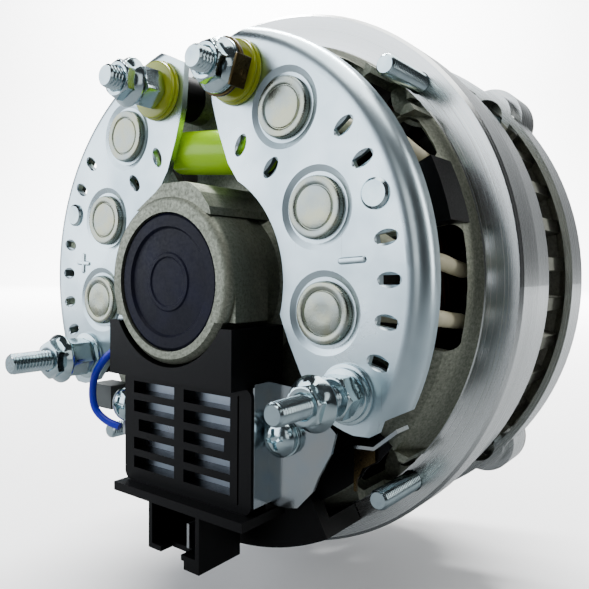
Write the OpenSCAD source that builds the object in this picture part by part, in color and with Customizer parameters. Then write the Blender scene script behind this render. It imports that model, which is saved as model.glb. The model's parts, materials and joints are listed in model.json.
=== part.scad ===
// Engine alternator with outside heat sinks, millimetres.
// Origin: on the shaft axis in the rear face of the machined flange.
// +Y runs along the shaft to the pulley, +Z is up, +X is right as seen from behind.

/* [Housing] */
// Diameter of the machined flange band
flange_d = 153; // [150:0.5:158]
// Length of the machined band
band_len = 12; // [9:0.5:14]
// Length of the rear housing ahead of the flange face
skirt_len = 25.4; // [22:0.2:28]
// Width of the turned flange face
flange_face_w = 8.5; // [8:0.1:9]
// Depth of the dished rear wall behind the flange face
dish_len = 12; // [10:0.5:13]
// Thickness of the rear wall
wall_t = 3; // [2.5:0.1:4]
// Distance of the bolt circle inside the flange's edge
bolt_inset = 5.9; // [5.5:0.1:6.2]
// Thread diameter of the through bolts
bolt_d = 5; // [4:0.5:6]
// How far the bolts stand out behind the flange
stud_out = 17.7; // [12:0.1:22]
// Diameter of the rear bearing hub below the brush holder's yoke
hub_d = 41.6; // [41:0.2:44]
// Diameter of the thicker upper part of the hub
hub_top_d = 43.6; // [43:0.2:46]
// Distance of the hub's rear face behind the flange face
hub_out = 38.1; // [37:0.1:41]
// Height of the flat cast rib on the hub above the shaft axis
hub_rib_h = 24.7; // [23:0.1:26]
// Gap between the rear housing and the front flange
vent_gap = 19.3; // [15:0.1:22]
// Distance by which the front flange stands out past the rear one
front_over = 0.1; // [0:0.1:1]
// Length of the front flange band
front_band = 15.3; // [12:0.1:18]
// Number of bars in the vent ring
vent_bars = 40; // [24:1:44]
// Width of one vent bar
vent_bar_w = 3.6; // [2.5:0.1:5]

/* [Bearings] */
// Outer diameter of the rear bearing
rear_brg_od = 35; // [32:0.5:36]
// Bore of the rear bearing
rear_brg_id = 15; // [12:0.5:17]
// Width of the rear bearing
rear_brg_w = 11; // [9:0.5:12]
// Outer diameter of the front bearing
front_brg_od = 47; // [42:0.5:50]
// Bore of the front bearing
front_brg_id = 17; // [15:0.5:20]
// Width of the front bearing
front_brg_w = 14; // [12:0.5:15]

/* [Stator] */
// Length of the laminated core
core_len = 26; // [22:0.5:28]
// Thickness of the core outside its slots
core_back = 6.3; // [5:0.1:7]
// Number of winding slots
slots = 36; // [24:6:48]
// Depth of a slot
slot_depth = 11.5; // [9:0.5:12]
// Length of each winding overhang
overhang = 12.6; // [9:0.2:13]
// Diameter of the sleeves on the winding leads
sleeve_d = 4; // [3:0.2:4.6]

/* [Rotor] */
// Air gap between rotor and stator
air_gap = 0.5; // [0.3:0.05:0.8]
// Claws on each half of the rotor
claws = 6; // [4:1:8]
// Thickness of a pole disc
pole_t = 11; // [9:0.5:12]
// Width of a claw at its root
claw_root = 23; // [16:0.5:24]
// Width of a claw at its tip
claw_tip = 9; // [6:0.5:11]
// Diameter of the slip rings
slip_d = 27; // [24:0.5:28]
// Width of one slip ring
slip_w = 5.8; // [5:0.1:6]
// Outer diameter of the fan
fan_d = 124; // [100:1:130]
// Number of fan blades
fan_blades = 12; // [8:1:14]
// Outer diameter of the pulley
pulley_d = 70; // [60:1:80]
// Width of the pulley
pulley_w = 22; // [19:0.5:25]
// Angle of the belt groove
groove_angle = 36; // [34:1:40]

/* [Heat sinks] */
// Distance of the plates' rear face behind the flange face
plate_out = 27.4; // [26.5:0.1:28.4]
// Outer diameter of the plates
plate_d = 131.8; // [128:0.2:134]
// Thickness of a plate
plate_t = 1.8; // [1.2:0.1:2.2]
// Length of the turned rim of a plate
rim_len = 6.5; // [5:0.5:7]
// Radius that clears the hub
plate_hub_r = 29.2; // [27:0.1:31]
// Diameter of a pressed-in diode
diode_d = 14.6; // [12.8:0.1:15]
// Width of a stamped cooling slot
vent_w = 2.1; // [1.5:0.1:2.6]
// Length of a stamped cooling slot
vent_l = 4.8; // [4:0.1:6]

/* [Terminals] */
// Thread diameter of the upper studs and of the left lower one
term_d = 6; // [5:0.5:6]
// Thread diameter of the right lower stud
small_term_d = 5; // [4:0.5:6]
// Diameter of the insulating washers
insulator_d = 16; // [14:0.5:17]
// Thickness of one insulating washer
insulator_t = 1.3; // [1:0.1:1.6]
// Width across flats of the larger terminal nuts
nut_af = 10; // [9:0.5:10]
// Width across flats of the smaller terminal nuts
small_nut_af = 8; // [7:0.5:9]

/* [Regulator] */
// Half of the regulator's width
reg_half_w = 23.5; // [22:0.5:24.5]
// Top edge of the regulator below the shaft axis
reg_top = 25.2; // [24.6:0.2:26]
// Bottom edge of the regulator below the shaft axis
reg_bottom = 56; // [54:0.5:58]
// Distance of the cover's face behind the flange face
cover_out = 32; // [31.5:0.1:33]
// Thickness of the grille cover
cover_t = 4.2; // [3:0.1:4.3]
// Half of the yoke's width
yoke_half_w = 22.4; // [21.5:0.1:23]
// Carbon brush width along the shaft
brush_w = 5; // [4:0.1:5.2]
// Carbon brush width across the shaft
brush_b = 7; // [6:0.1:8]
// Carbon brush length
brush_l = 15; // [13:0.5:16]
// Travel of a brush against its spring
brush_travel = 6; // [4:0.5:7]
// Width of the connector
conn_w = 19; // [17:0.5:21]

/* [Mounting lugs] */
// Distance from the rim of the front flange to the middle of the pivot hole
pivot_out = 15.4; // [14:0.2:18]
// Diameter of the pivot hole
pivot_hole_d = 10.2; // [8.2:0.1:12.2]
// Length of the pivot lug
pivot_len = 28; // [20:1:30]
// Distance from the rim of the front flange to the middle of the adjusting hole
adjust_out = 13.4; // [12:0.2:16]
// Diameter of the adjusting hole
adjust_hole_d = 8.2; // [6.8:0.1:8.6]
// Length of the adjusting lug
adjust_len = 13; // [10:1:15]

/* [Hidden] */
fine = 96;
eps = 0.01;
run_clear = 0.03;
seat_clear = 0.05;
part_gap = 0.3;
corners = [45, 135, 225, 315];

// Housing sizes that follow from the ones above
flange_r = flange_d / 2;
lip_r = flange_r - flange_face_w;
bolt_r = flange_r - bolt_inset;
bolt_hole_r = bolt_d / 2 + 0.25;
core_r = lip_r + 1;
slot_lip = 1.4;
core_bore_r = core_r - core_back - slot_depth - slot_lip;
core_y0 = 6;
core_y1 = core_y0 + core_len;
skirt_front_r = flange_r - 1.2;
hub_r = hub_d / 2;
hub_top_r = hub_top_d / 2;
hub_flare_r = hub_r + 3.5;
chamber_r = rear_brg_od / 2 - 0.7;
yoke_top = 10.6;
hub_ledge = yoke_top - 1.4;
front_y0 = skirt_len + vent_gap;
front_y1 = front_y0 + front_band;
front_r = flange_r + front_over;
pivot_r = front_r + pivot_out;
adjust_r = front_r + adjust_out;
front_rim = 1.9;
front_wall_t = 5;
vent_bar_out_r = lip_r + 4.8;
vent_bar_in_r = core_r - 1.6;
boss_r = 9.9;

// Bearing places
cap_t = 2.6;
rear_brg_y0 = -hub_out + 3.6;
rear_brg_y1 = rear_brg_y0 + rear_brg_w;
front_brg_y0 = core_y1 + 18;
front_brg_y1 = front_brg_y0 + front_brg_w;
rear_pitch_r = (rear_brg_od + rear_brg_id) / 4;
front_pitch_r = (front_brg_od + front_brg_id) / 4;
rear_ball_r = (rear_brg_od - rear_brg_id) * 0.149;
front_ball_r = (front_brg_od - front_brg_id) * 0.1455;
rear_balls = 8;
front_balls = 7;

// Rotor places
rotor_r = core_bore_r - air_gap;
rotor_mid = (core_y0 + core_y1) / 2;
rotor_half = 22;
rotor_y0 = rotor_mid - rotor_half;
rotor_y1 = rotor_mid + rotor_half;
shaft_r = 9;
core_hub_r = rotor_r - 30.3;
slip_r = slip_d / 2;
slip_pitch = slip_w + 2.6;
slip_y = [rear_brg_y1 + 5.8, rear_brg_y1 + 5.8 + slip_pitch];
fan_y = front_brg_y1 + 16;
fan_t = 1.6;
pulley_y0 = fan_y + fan_t;
pulley_y1 = pulley_y0 + pulley_w;
pulley_washer_t = 2;
nut_len = 9;
shaft_end = pulley_y1 + pulley_washer_t + nut_len + 3;
thread_r = front_brg_id / 2 - 0.5;

// Heat sink places
plate_y0 = -plate_out;
plate_y1 = plate_y0 + plate_t;
plate_r = plate_d / 2;
plate_flat_r = plate_r - 5.4;
diode_r = diode_d / 2;
diode_proud = 1.2;
diode_places = [[50.3, 55.2], [42.1, 24.6], [41.3, -8.8]];
vent_angles = [37.6, 28.6, 10.5, 1.5, -7.5, -16.5];
vent_row_r = plate_r - 8.6;
inner_vent_angles = [65.6, 47.8];
inner_vent_row_r = plate_hub_r + 8.1;
rivet_place = [plate_r - 8.8, 20.2];

// Terminal places: right top, right bottom; the left ones mirror them
term_top = [14.3, 51.8];
term_bottom = [47.3, -23.8];
wall_y = -dish_len;
term_boss_h = 4;
// Each terminal: place, thread diameter, inner nut as flats, start and end, outer nut the same
// with the radius of its flange, and the tip. All are distances behind the plate's rear face.
terminals = [
    [term_top, term_d, [nut_af, 2.62, 5.4], [nut_af - 1, 7.4, 11.8, 6.5], 15.4],
    [[-term_top[0], term_top[1]], term_d, [nut_af, 2.62, 9], [nut_af - 1, 10.2, 14.6, 6.4], 18],
    [term_bottom, small_term_d, [small_nut_af + 1, 2.22, 6.6], [small_nut_af, 12.8, 16.9, 6], 26.3],
    [[-term_bottom[0], term_bottom[1]], term_d, [nut_af, 1.22, 8.3], [nut_af, 9.6, 14, 7.2], 25.4]
];
function thread_of(t) = t[1] / 2;
function core_of(d) = d / 2 * 0.893;

module at_place(t) {
    translate([t[0][0], 0, t[0][1]]) children();
}

// Regulator places
ear_place = [29, -36.6];
ear_screw_r = 2.5;
ear_t = 4.5;
ear_y0 = -25.2;
ear_y1 = ear_y0 + ear_t;
cover_y0 = -cover_out;
cover_y1 = cover_y0 + cover_t;
reg_plate_t = 1.4;
base_y0 = cover_y1 + reg_plate_t;
base_y1 = -19.5;
yoke_y0 = -hub_out + 0.2;
yoke_clear_r = hub_r + 0.7;
tower_half_w = brush_b / 2 + 4.6;
tower_y0 = rear_brg_y1 + 1.7;
tower_y1 = slip_y[1] + brush_w / 2 + 1.6;
tower_bottom = 44;
brush_clear = 0.1;
brush_top = slip_r + run_clear;
spring_bottom = tower_bottom - 2;
spring_r = 2;
spring_wire_r = 0.28;
spring_turns = 6;
conn_y0 = cover_y0 - 3.3;
conn_y1 = -20;
ledge_t = 2.4;

// Shapes used by several pieces

// A profile of radius and place along the shaft, turned about the shaft axis
module turned(profile, sides = fine) {
    rotate([-90, 0, 0]) rotate_extrude($fn = sides) polygon(profile);
}

// A flat outline in X and Z, made solid between two places along the shaft
module slab(y0, y1) {
    translate([0, y1, 0]) rotate([90, 0, 0]) linear_extrude(y1 - y0) children();
}

// A turned disc whose rear edge is rolled over with a round of the given radius
module rolled(r, y0, y1, round_r) {
    rotate([-90, 0, 0]) rotate_extrude($fn = 128) {
        translate([0, y0]) square([r - round_r, y1 - y0]);
        translate([0, y0 + round_r]) square([r, y1 - y0 - round_r]);
        intersection() {
            translate([r - round_r, y0 + round_r]) circle(r = round_r, $fn = 48);
            translate([0, y0]) square([r, y1 - y0]);
        }
    }
}

// A round bar along the shaft
module bar(r, y0, y1, sides = 48) {
    translate([0, y0, 0]) rotate([-90, 0, 0]) cylinder(r = r, h = y1 - y0, $fn = sides);
}

// A hexagon bar along the shaft, across flats af
module hex_bar(af, y0, y1) {
    translate([0, y0, 0]) rotate([-90, 0, 0]) cylinder(r = af / sqrt(3), h = y1 - y0, $fn = 6);
}

// Children turned about the shaft, anticlockwise as seen from behind
module at_angle(a) {
    rotate([0, -a, 0]) children();
}

// Children at a radius and an angle
module polar(r, a) {
    at_angle(a) translate([r, 0, 0]) children();
}

// Children and their mirror image on the left
module both_sides() {
    children();
    mirror([1, 0, 0]) children();
}

// An annular sector between two radii and two angles, as a flat outline
module sector(r0, r1, a0, a1) {
    mid = (a0 + a1) / 2;
    reach = r1 * 1.6;
    difference() {
        intersection() {
            circle(r = r1, $fn = fine);
            polygon([[0, 0], reach * [cos(a0), sin(a0)], reach * [cos(mid), sin(mid)],
                     reach * [cos(a1), sin(a1)]]);
        }
        circle(r = r0, $fn = fine);
    }
}

// The same sector with rounded corners
module soft_sector(r0, r1, a0, a1, round_r) {
    offset(r = round_r, $fn = 24) offset(delta = -round_r) sector(r0, r1, a0, a1);
}

// A washer with its hole
module washer(r_out, r_in, y0, y1) {
    difference() {
        bar(r_out, y0, y1);
        bar(r_in, y0 - 1, y1 + 1);
    }
}

// Rear housing: dished wall, hub, flange band and bosses

module rear_bracket_shell() {
    dish_in_r = lip_r - 3.6;
    turned([
        [core_r, skirt_len], [skirt_front_r, skirt_len], [flange_r - 0.6, band_len + 0.8],
        [flange_r, band_len], [flange_r, 0.8], [flange_r - 0.8, 0], [lip_r, 0],
        [lip_r - 0.6, -1], [lip_r - 2, -dish_len / 2], [lip_r - 4, -dish_len + 1.8],
        [lip_r - 8, -dish_len], [hub_flare_r, wall_y], [hub_flare_r - 1.4, wall_y - 2],
        [hub_r, wall_y - 6], [hub_r, -hub_out + 1.4], [hub_r - 1.4, -hub_out],
        [rear_brg_od / 2, -hub_out], [rear_brg_od / 2, rear_brg_y1],
        [rear_brg_od / 2 - 2.2, rear_brg_y1], [rear_brg_od / 2 - 2.2, rear_brg_y1 + 1.2],
        [chamber_r, rear_brg_y1 + 1.6], [chamber_r, wall_y + wall_t],
        [lip_r - 8.4, wall_y + wall_t], [dish_in_r - 0.6, wall_y + wall_t + 2.2],
        [dish_in_r, -dish_len / 2], [dish_in_r, core_y0], [core_r, core_y0]
    ]);
}

// The thicker upper half of the hub, with its side shoulders and its flat-topped rib
module hub_upper() {
    step_y = -24;
    edge_round = 2.2;
    wall_in = rear_brg_od / 2 + 0.8;
    intersection() {
        difference() {
            rolled(hub_top_r, -hub_out, step_y, edge_round);
            bar(wall_in, -hub_out - 1, step_y + 1, fine);
        }
        translate([-40, -hub_out - 1, -hub_ledge]) cube([80, 60, 80]);
    }
    both_sides() translate([wall_in, -hub_out + edge_round, -hub_ledge])
        cube([hub_top_r - wall_in, hub_out + step_y - edge_round, hub_ledge + 0.5]);
    slab(-hub_out + 0.8, wall_y + 1)
        polygon([[-12, wall_in], [-8.4, hub_rib_h - 4.2], [-4.6, hub_rib_h - 2], [-2.6, hub_rib_h - 0.4],
                 [-1.2, hub_rib_h], [6, hub_rib_h], [8.4, hub_rib_h - 0.7], [11.4, hub_rib_h - 2.8],
                 [14.4, hub_rib_h - 6.4], [15, wall_in - 2], [8, wall_in]]);
}

module rear_bracket_windows() {
    window_in_r = hub_flare_r + 8;
    window_out_r = lip_r - 2.1;
    half = [[-13.5, 12.9], [14.9, 24.6], [26.6, 38.3], [51.7, 63.5]];
    spans = concat(half, [for (s = half) [180 - s[1], 180 - s[0]]], [[83, 97], [246, 254]]);
    slab(wall_y - 4, -2)
        for (s = spans) soft_sector(window_in_r, window_out_r, s[0], s[1], 2.5);
}

// Oval pockets beside the bolts
module bolt_pockets() {
    pocket_r = 3.9;
    for (a = corners, side = [-3, 3])
        polar(lip_r - 4.2, a + side) bar(pocket_r, wall_y - 6, 4, 32);
}

module rear_bracket() {
    boss_in_r = lip_r - 7.4;
    scallop_r = 8;
    color([0.74, 0.75, 0.72]) difference() {
        union() {
            rear_bracket_shell();
            // Bolt pads inside the rim of the dish
            intersection() {
                for (a = corners) polar(bolt_r, a) bar(bolt_r - boss_in_r, wall_y + 1.5, core_y0);
                bar(lip_r - 0.3, -dish_len, core_y0);
            }
            hub_upper();
            // Bosses that carry the terminal studs and the regulator
            for (t = terminals) at_place(t) bar(6.4, wall_y - term_boss_h, wall_y + 1);
            both_sides() translate([ear_place[0], 0, ear_place[1]]) bar(5.2, ear_y1, wall_y + 1);
            // Cast ribs on the lower part of the wall
            for (a = [-26, -21, -16.5, 196.5, 201, 206])
                at_angle(a) translate([lip_r - 26, wall_y - 1.6, -0.9]) cube([17, 2.6, 1.8]);
        }
        rear_bracket_windows();
        bolt_pockets();
        for (a = corners) {
            polar(bolt_r, a) bar(bolt_hole_r, -1, skirt_len + 1, 24);
            polar(bolt_r, a) bar(scallop_r, wall_y - 6, 0);
        }
        // Slot in the hub and the wall for the brush holder
        translate([-tower_half_w - 0.5, tower_y0 - 0.5, -tower_bottom - 1])
            cube([2 * tower_half_w + 1, core_y0 + 8 - tower_y0, tower_bottom + 1 - slip_r + 3]);
        for (t = terminals) at_place(t) bar(core_of(t[1]), wall_y - 8, wall_y + wall_t + 2, 32);
        both_sides() translate([ear_place[0], 0, ear_place[1]]) bar(ear_screw_r, ear_y1 - 1, ear_y1 + 7, 32);
        bar(chamber_r, tower_y0 - 0.3, wall_y + wall_t + 0.5, fine);
    }
}

// Front housing: register ring, vent bars and flange band; spokes; bearing hub; lugs

pivot_angle = 240;
adjust_angle = 120;
pivot_y0 = front_y0 + 1;
adjust_y0 = front_y0 + 1;
front_wall_y0 = front_y1 - front_wall_t;
front_seat_r = front_brg_od / 2;
front_hub_r = front_seat_r + 6;
spoke_r0 = front_hub_r + 5.8;
spoke_r1 = core_r - 7.2;

// Air windows in the front wall
module front_windows() {
    slab(front_wall_y0 - 2, front_y1 + 1)
        for (i = [0:7]) soft_sector(spoke_r0 - 0.8, spoke_r1 + 0.8, i * 45 + 4, i * 45 + 41, 3);
}

module front_bracket() {
    color([0.72, 0.73, 0.71]) difference() {
        union() {
            // Register ring that clamps the stator core
            turned([[core_r + seat_clear, skirt_len + 1.4], [vent_bar_out_r, skirt_len + 1.4],
                    [vent_bar_out_r, core_y1 + 3], [vent_bar_in_r, core_y1 + 3],
                    [vent_bar_in_r, core_y1], [core_r + seat_clear, core_y1]]);
            for (i = [0:vent_bars - 1])
                at_angle((i + 0.5) * 360 / vent_bars)
                    translate([vent_bar_in_r + 0.4, core_y1 + 1, -vent_bar_w / 2])
                        cube([vent_bar_out_r - vent_bar_in_r - 1, front_wall_y0 - core_y1, vent_bar_w]);
            // Flange band and the outer part of the front wall
            turned([[front_r - front_rim, front_y0], [front_r, front_y0], [front_r, front_y1 - 4],
                    [front_r - 4, front_y1], [spoke_r1, front_y1], [spoke_r1, front_wall_y0],
                    [front_r - 6, front_wall_y0], [front_r - front_rim - 0.4, front_wall_y0 - 4]]);
            for (a = corners) {
                polar(bolt_r, a) bar(boss_r - 1.7, front_y0, front_y0 + 6);
                polar(bolt_r, a) bar(boss_r, front_y0 + 5, front_y1 + 2);
            }
        }
        front_windows();
        for (a = corners) {
            polar(bolt_r, a) bar(bolt_hole_r, skirt_len, front_y1 + 3, 24);
            polar(bolt_r, a) bar(5.6, front_y0 - 1, front_y1 - 6);
        }
    }
}

module front_spokes() {
    color([0.72, 0.73, 0.71]) difference() {
        slab(front_wall_y0, front_y1) difference() {
            circle(r = spoke_r1, $fn = fine);
            circle(r = spoke_r0, $fn = fine);
        }
        front_windows();
        for (a = corners) polar(bolt_r, a) bar(boss_r, front_wall_y0 - 1, front_y1 + 1);
    }
}

module front_hub() {
    color([0.72, 0.73, 0.71]) difference() {
        turned([[spoke_r0, front_wall_y0], [spoke_r0, front_y1], [front_hub_r + 3, front_y1],
                [front_hub_r, front_y1 + 3], [front_hub_r, front_brg_y1 + 2], [front_seat_r - 2, front_brg_y1 + 2],
                [front_seat_r - 2, front_brg_y1], [front_seat_r, front_brg_y1], [front_seat_r, front_brg_y0],
                [front_hub_r, front_brg_y0], [front_hub_r, front_wall_y0]]);
        front_windows();
        for (a = [30, 150, 270]) polar(front_seat_r + 3, a) bar(1.6, front_brg_y0 - 1, front_brg_y0 + 7, 24);
    }
}

// A lug that grows out of the flange band and over the front wall
module mounting_lug(radius, angle, hole_d, y0, y1, root_w) {
    lug_r = hole_d / 2 + 5.2;
    difference() {
        at_angle(angle) slab(y0, y1) difference() {
            union() {
                translate([radius, 0]) circle(r = lug_r, $fn = 64);
                polygon([[front_r - 8, -root_w / 2], [radius + 1, -lug_r + 0.1],
                         [radius + 1, lug_r - 0.1], [front_r - 8, root_w / 2]]);
            }
            translate([radius, 0]) circle(r = hole_d / 2, $fn = 64);
        }
        turned([[0, front_y0 - 1], [front_r, front_y0 - 1], [front_r, front_y1 - 4],
                [front_r - 4, front_y1], [0, front_y1]]);
        for (a = corners) polar(bolt_r, a) bar(boss_r, front_y0 - 1, front_y1 + 2);
    }
}

module mounting_lugs() {
    color([0.72, 0.73, 0.71]) {
        mounting_lug(pivot_r, pivot_angle, pivot_hole_d, pivot_y0, pivot_y0 + pivot_len, 24);
        mounting_lug(adjust_r, adjust_angle, adjust_hole_d, adjust_y0, adjust_y0 + adjust_len, 24);
    }
}

// Stator

module stator_core() {
    slot_w = 4.2;
    mouth_w = 2.2;
    slot_r0 = core_bore_r + slot_lip;
    color([0.34, 0.33, 0.33]) slab(core_y0, core_y1) difference() {
        circle(r = core_r, $fn = fine);
        circle(r = core_bore_r, $fn = fine);
        for (i = [0:slots - 1]) rotate(i * 360 / slots) {
            translate([slot_r0, -slot_w / 2]) square([slot_depth, slot_w]);
            translate([core_bore_r - 1, -mouth_w / 2]) square([4, mouth_w]);
        }
        for (a = corners) rotate(a) translate([bolt_r, 0]) circle(r = bolt_hole_r + 0.3, $fn = 24);
    }
}

module winding_ring(y_near, y_far) {
    r_in = core_bore_r + 1.6;
    r_out = lip_r - 8.2;
    y_mid = (y_near + y_far) / 2;
    step = y_far > y_near ? 1 : -1;
    difference() {
        turned([[r_in, y_near + step * part_gap], [r_out, y_near + step * part_gap],
                [r_out + 0.4, y_mid], [r_out - 1.4, y_far - step * 1.2], [r_out - 4, y_far],
                [r_in + 2.6, y_far], [r_in + 0.8, y_far - step * 1.6]], 72);
        for (i = [0:slots / 2 - 1])
            at_angle((i + 0.5) * 720 / slots)
                translate([r_in + 3, y_far - 1.1, -0.8]) cube([r_out, 2.2, 1.6]);
    }
}

module stator_winding() {
    bar_w = 3.6;
    slot_r0 = core_bore_r + slot_lip;
    color([0.62, 0.25, 0.15]) {
        winding_ring(core_y0, core_y0 - overhang);
        winding_ring(core_y1, core_y1 + overhang);
        slab(core_y0 - 0.5, core_y1 + 0.5)
            for (i = [0:slots - 1]) rotate(i * 360 / slots)
                translate([slot_r0 + 0.3, -bar_w / 2]) square([slot_depth - 0.6, bar_w]);
    }
}

// Leads from the winding to the diodes, each in a sleeve.
// Points are radius, angle, place along the shaft.
sleeve_r = sleeve_d / 2;
sleeve_out_r = lip_r - 8 + sleeve_r;
sleeve_start = plate_y1 + 7;
sleeve_routes = [
    [[diode_places[0][0], diode_places[0][1], sleeve_start], [50.8, 54, sleeve_start + 2.2],
     [52.6, 48, -15.2], [56, 41, -15], [59.6, 35.6, -15.2], [61.6, 32.4, -14], [sleeve_out_r, 30.4, -11],
     [sleeve_out_r, 28.6, -5.5], [sleeve_out_r, 27.6, 1]],
    [[diode_places[1][0], diode_places[1][1], sleeve_start], [42.6, 23.4, sleeve_start + 2.2],
     [46.4, 16, -15.2], [52, 9.6, -15], [57.6, 6.4, -15.2], [61.2, 5.4, -14], [sleeve_out_r, 5, -11],
     [sleeve_out_r, 4.2, -5.5], [sleeve_out_r, 3.4, 1]],
    [[diode_places[2][0], diode_places[2][1], sleeve_start], [42, -8.8, sleeve_start + 2.4],
     [47, -8.2, -15], [53, -7.4, -15], [58.4, -6.8, -15], [61.4, -6.6, -13.8], [sleeve_out_r, -6.8, -11],
     [sleeve_out_r, -7.4, -5.5], [sleeve_out_r, -8, 1]]
];

function route_point(p) = [p[0] * cos(p[1]), p[2], p[0] * sin(p[1])];
function unit(v) = v / norm(v);
function tangent(route, i) = unit(route[min(i + 1, len(route) - 1)] - route[max(i - 1, 0)]);
// A point on a smooth curve through four neighbours
function curve_point(a, b, c, d, t) =
    0.5 * (2 * b + (c - a) * t + (2 * a - 5 * b + 4 * c - d) * t * t
           + (3 * b - 3 * c + d - a) * t * t * t);
function smooth(route, steps) = [
    for (i = [0:len(route) - 2], s = [0:steps - 1])
        curve_point(route[max(i - 1, 0)], route[i], route[i + 1],
                    route[min(i + 2, len(route) - 1)], s / steps),
    route[len(route) - 1]
];

// A round tube of radius r along a route that stays off the given direction
module swept(route, r, sides, off = [0, 0, 1]) {
    rings = [for (i = [0:len(route) - 1])
        let (t = tangent(route, i), u = unit(cross(t, off)), v = cross(t, u))
            [for (k = [0:sides - 1])
                route[i] + r * (cos(k * 360 / sides) * u + sin(k * 360 / sides) * v)]];
    n = len(route);
    points = [for (ring = rings, p = ring) p];
    walls = [for (i = [0:n - 2], k = [0:sides - 1], half = [0, 1])
        half == 0
            ? [i * sides + k, (i + 1) * sides + k, (i + 1) * sides + (k + 1) % sides]
            : [i * sides + k, (i + 1) * sides + (k + 1) % sides, i * sides + (k + 1) % sides]];
    first = [for (k = [0:sides - 1]) k];
    last = [for (k = [sides - 1:-1:0]) (n - 1) * sides + k];
    polyhedron(points, concat(walls, [first], [last]), convexity = 6);
}

module lead_sleeves() {
    color([0.85, 0.82, 0.68]) both_sides() for (route = sleeve_routes)
        swept(smooth([for (p = route) route_point(p)], 3), sleeve_r, 10);
}

// Heat sinks and diodes

bush_in_r = term_d / 2 + 1.2;

module plate_outline() {
    difference() {
        intersection() {
            circle(r = plate_r, $fn = fine);
            polygon([[14.5, 25.3], [11.2, 30], [8, 38], [5.6, 46], [4.6, 58], [17, 63.6], [20, 75],
                     [75, 75], [75, -17], [63, -23], [60.8, -26.2], [57.4, -28], [55.6, -29], [54.6, -31.6], [53, -32.6],
                     [49, -32.8], [46.4, -32.2],
                     [43, -31], [35, -21.6], [31.2, -14.2], [29.2, -9.6], [28, -6.6],
                     [27.4, -4.2], [plate_hub_r - 0.1, -2.4], [20, 0]]);
        }
        circle(r = plate_hub_r, $fn = fine);
    }
}

module heat_sink() {
    roll = 4.6;
    well_out = 2.4;
    well_depth = 0.55;
    difference() {
        intersection() {
            difference() {
                rolled(plate_r, plate_y0, plate_y0 + rim_len, roll);
                rolled(plate_r - plate_t, plate_y1, plate_y0 + rim_len + 1, roll - plate_t);
            }
            slab(plate_y0 - 1, plate_y0 + 9) plate_outline();
        }
        // A shallow well round each pressed-in diode
        for (d = diode_places) polar(d[0], d[1]) {
            turned([[0, plate_y0 - 1], [diode_r + well_out, plate_y0 - 1], [diode_r + well_out, plate_y0],
                    [diode_r + 0.9, plate_y0 + well_depth], [0, plate_y0 + well_depth]], 64);
            bar(diode_r, plate_y0 - 2, plate_y1 + 2);
        }
        for (a = vent_angles) polar(vent_row_r, a) slot_cut();
        for (a = inner_vent_angles) polar(inner_vent_row_r, a) slot_cut();
        for (t = terminals) at_place([[abs(t[0][0]), t[0][1]]]) bar(bush_in_r, plate_y0 - 2, plate_y1 + 2);
        polar(rivet_place[0], rivet_place[1]) bar(1.6, plate_y0 - 2, plate_y1 + 2, 24);
    }
}

// A pierced slot whose long sides are pushed in as curved lips
module slot_cut() {
    lip_half_w = 2.3;
    lip_lift = 1.5;
    arc_r = 5.8;
    translate([-vent_l / 2, plate_y0 - 1, -vent_w / 2]) cube([vent_l, plate_t + 2, vent_w]);
    translate([0, plate_y0 - lip_lift, 0]) rotate([0, 90, 0]) rotate_extrude($fn = 64) intersection() {
        translate([lip_half_w - arc_r, 0]) circle(r = arc_r, $fn = 96);
        translate([0, -arc_r]) square([arc_r, 2 * arc_r]);
    }
}

module heat_sink_right() { color([0.80, 0.83, 0.87]) heat_sink(); }
module heat_sink_left() { color([0.80, 0.83, 0.87]) mirror([1, 0, 0]) heat_sink(); }

module diode() {
    face = plate_y0 - diode_proud;
    turned([[0, face + 0.3], [4.6, face + 0.3], [4.9, face + 0.7], [5.2, face + 0.3], [6.6, face + 0.2],
            [diode_r, face + 0.7], [diode_r, plate_y1 + 0.6], [diode_r - 1.4, plate_y1 + 1],
            [diode_r - 1.8, plate_y1 + 5], [2.4, plate_y1 + 6.2], [0.7, plate_y1 + 6.4],
            [0.7, plate_y1 + 7 - eps], [0, plate_y1 + 7 - eps]], 64);
}

module diode_set() {
    for (d = diode_places) polar(d[0], d[1]) diode();
}

module diodes_right() { color([0.78, 0.76, 0.68]) diode_set(); }
module diodes_left() { color([0.78, 0.76, 0.68]) mirror([1, 0, 0]) diode_set(); }

module plate_rivets() {
    head_r = 3.4;
    color([0.75, 0.77, 0.78]) both_sides() polar(rivet_place[0], rivet_place[1])
        turned([[0, plate_y0 - 0.9], [head_r - 0.6, plate_y0 - 0.9], [head_r, plate_y0 - 0.4],
                [head_r, plate_y0], [1.6, plate_y0], [1.6, plate_y1], [2.8, plate_y1],
                [2.8, plate_y1 + 0.8], [0, plate_y1 + 0.8]], 32);
}

// Terminals

module insulating_bushes() {
    color([0.16, 0.16, 0.17]) for (t = terminals) at_place(t) difference() {
        union() {
            bar(6.2, plate_y1, wall_y - term_boss_h);
            bar(bush_in_r, plate_y0, plate_y1 + 1);
        }
        bar(core_of(t[1]) + seat_clear, plate_y0 - 1, wall_y, 32);
    }
}

module insulating_washers() {
    color([0.66, 0.68, 0.16]) both_sides() translate([term_top[0], 0, term_top[1]])
        for (i = [0, 1])
            washer(insulator_d / 2 - 0.3 * i, core_of(term_d) + seat_clear, plate_y0 - (i + 1) * insulator_t,
                   plate_y0 - i * insulator_t - 0.02);
}

// A stud: the free end has the outer diameter of the thread, the rest the pitch diameter
module stud(t) {
    r = thread_of(t);
    tip = plate_y0 - t[4];
    nut_face = plate_y0 - t[3][2] - 0.1;
    turned([[0, tip], [r - 0.8, tip], [r, tip + 0.8], [r, nut_face], [core_of(t[1]), nut_face],
            [core_of(t[1]), wall_y + wall_t], [0, wall_y + wall_t]], 32);
}

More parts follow.
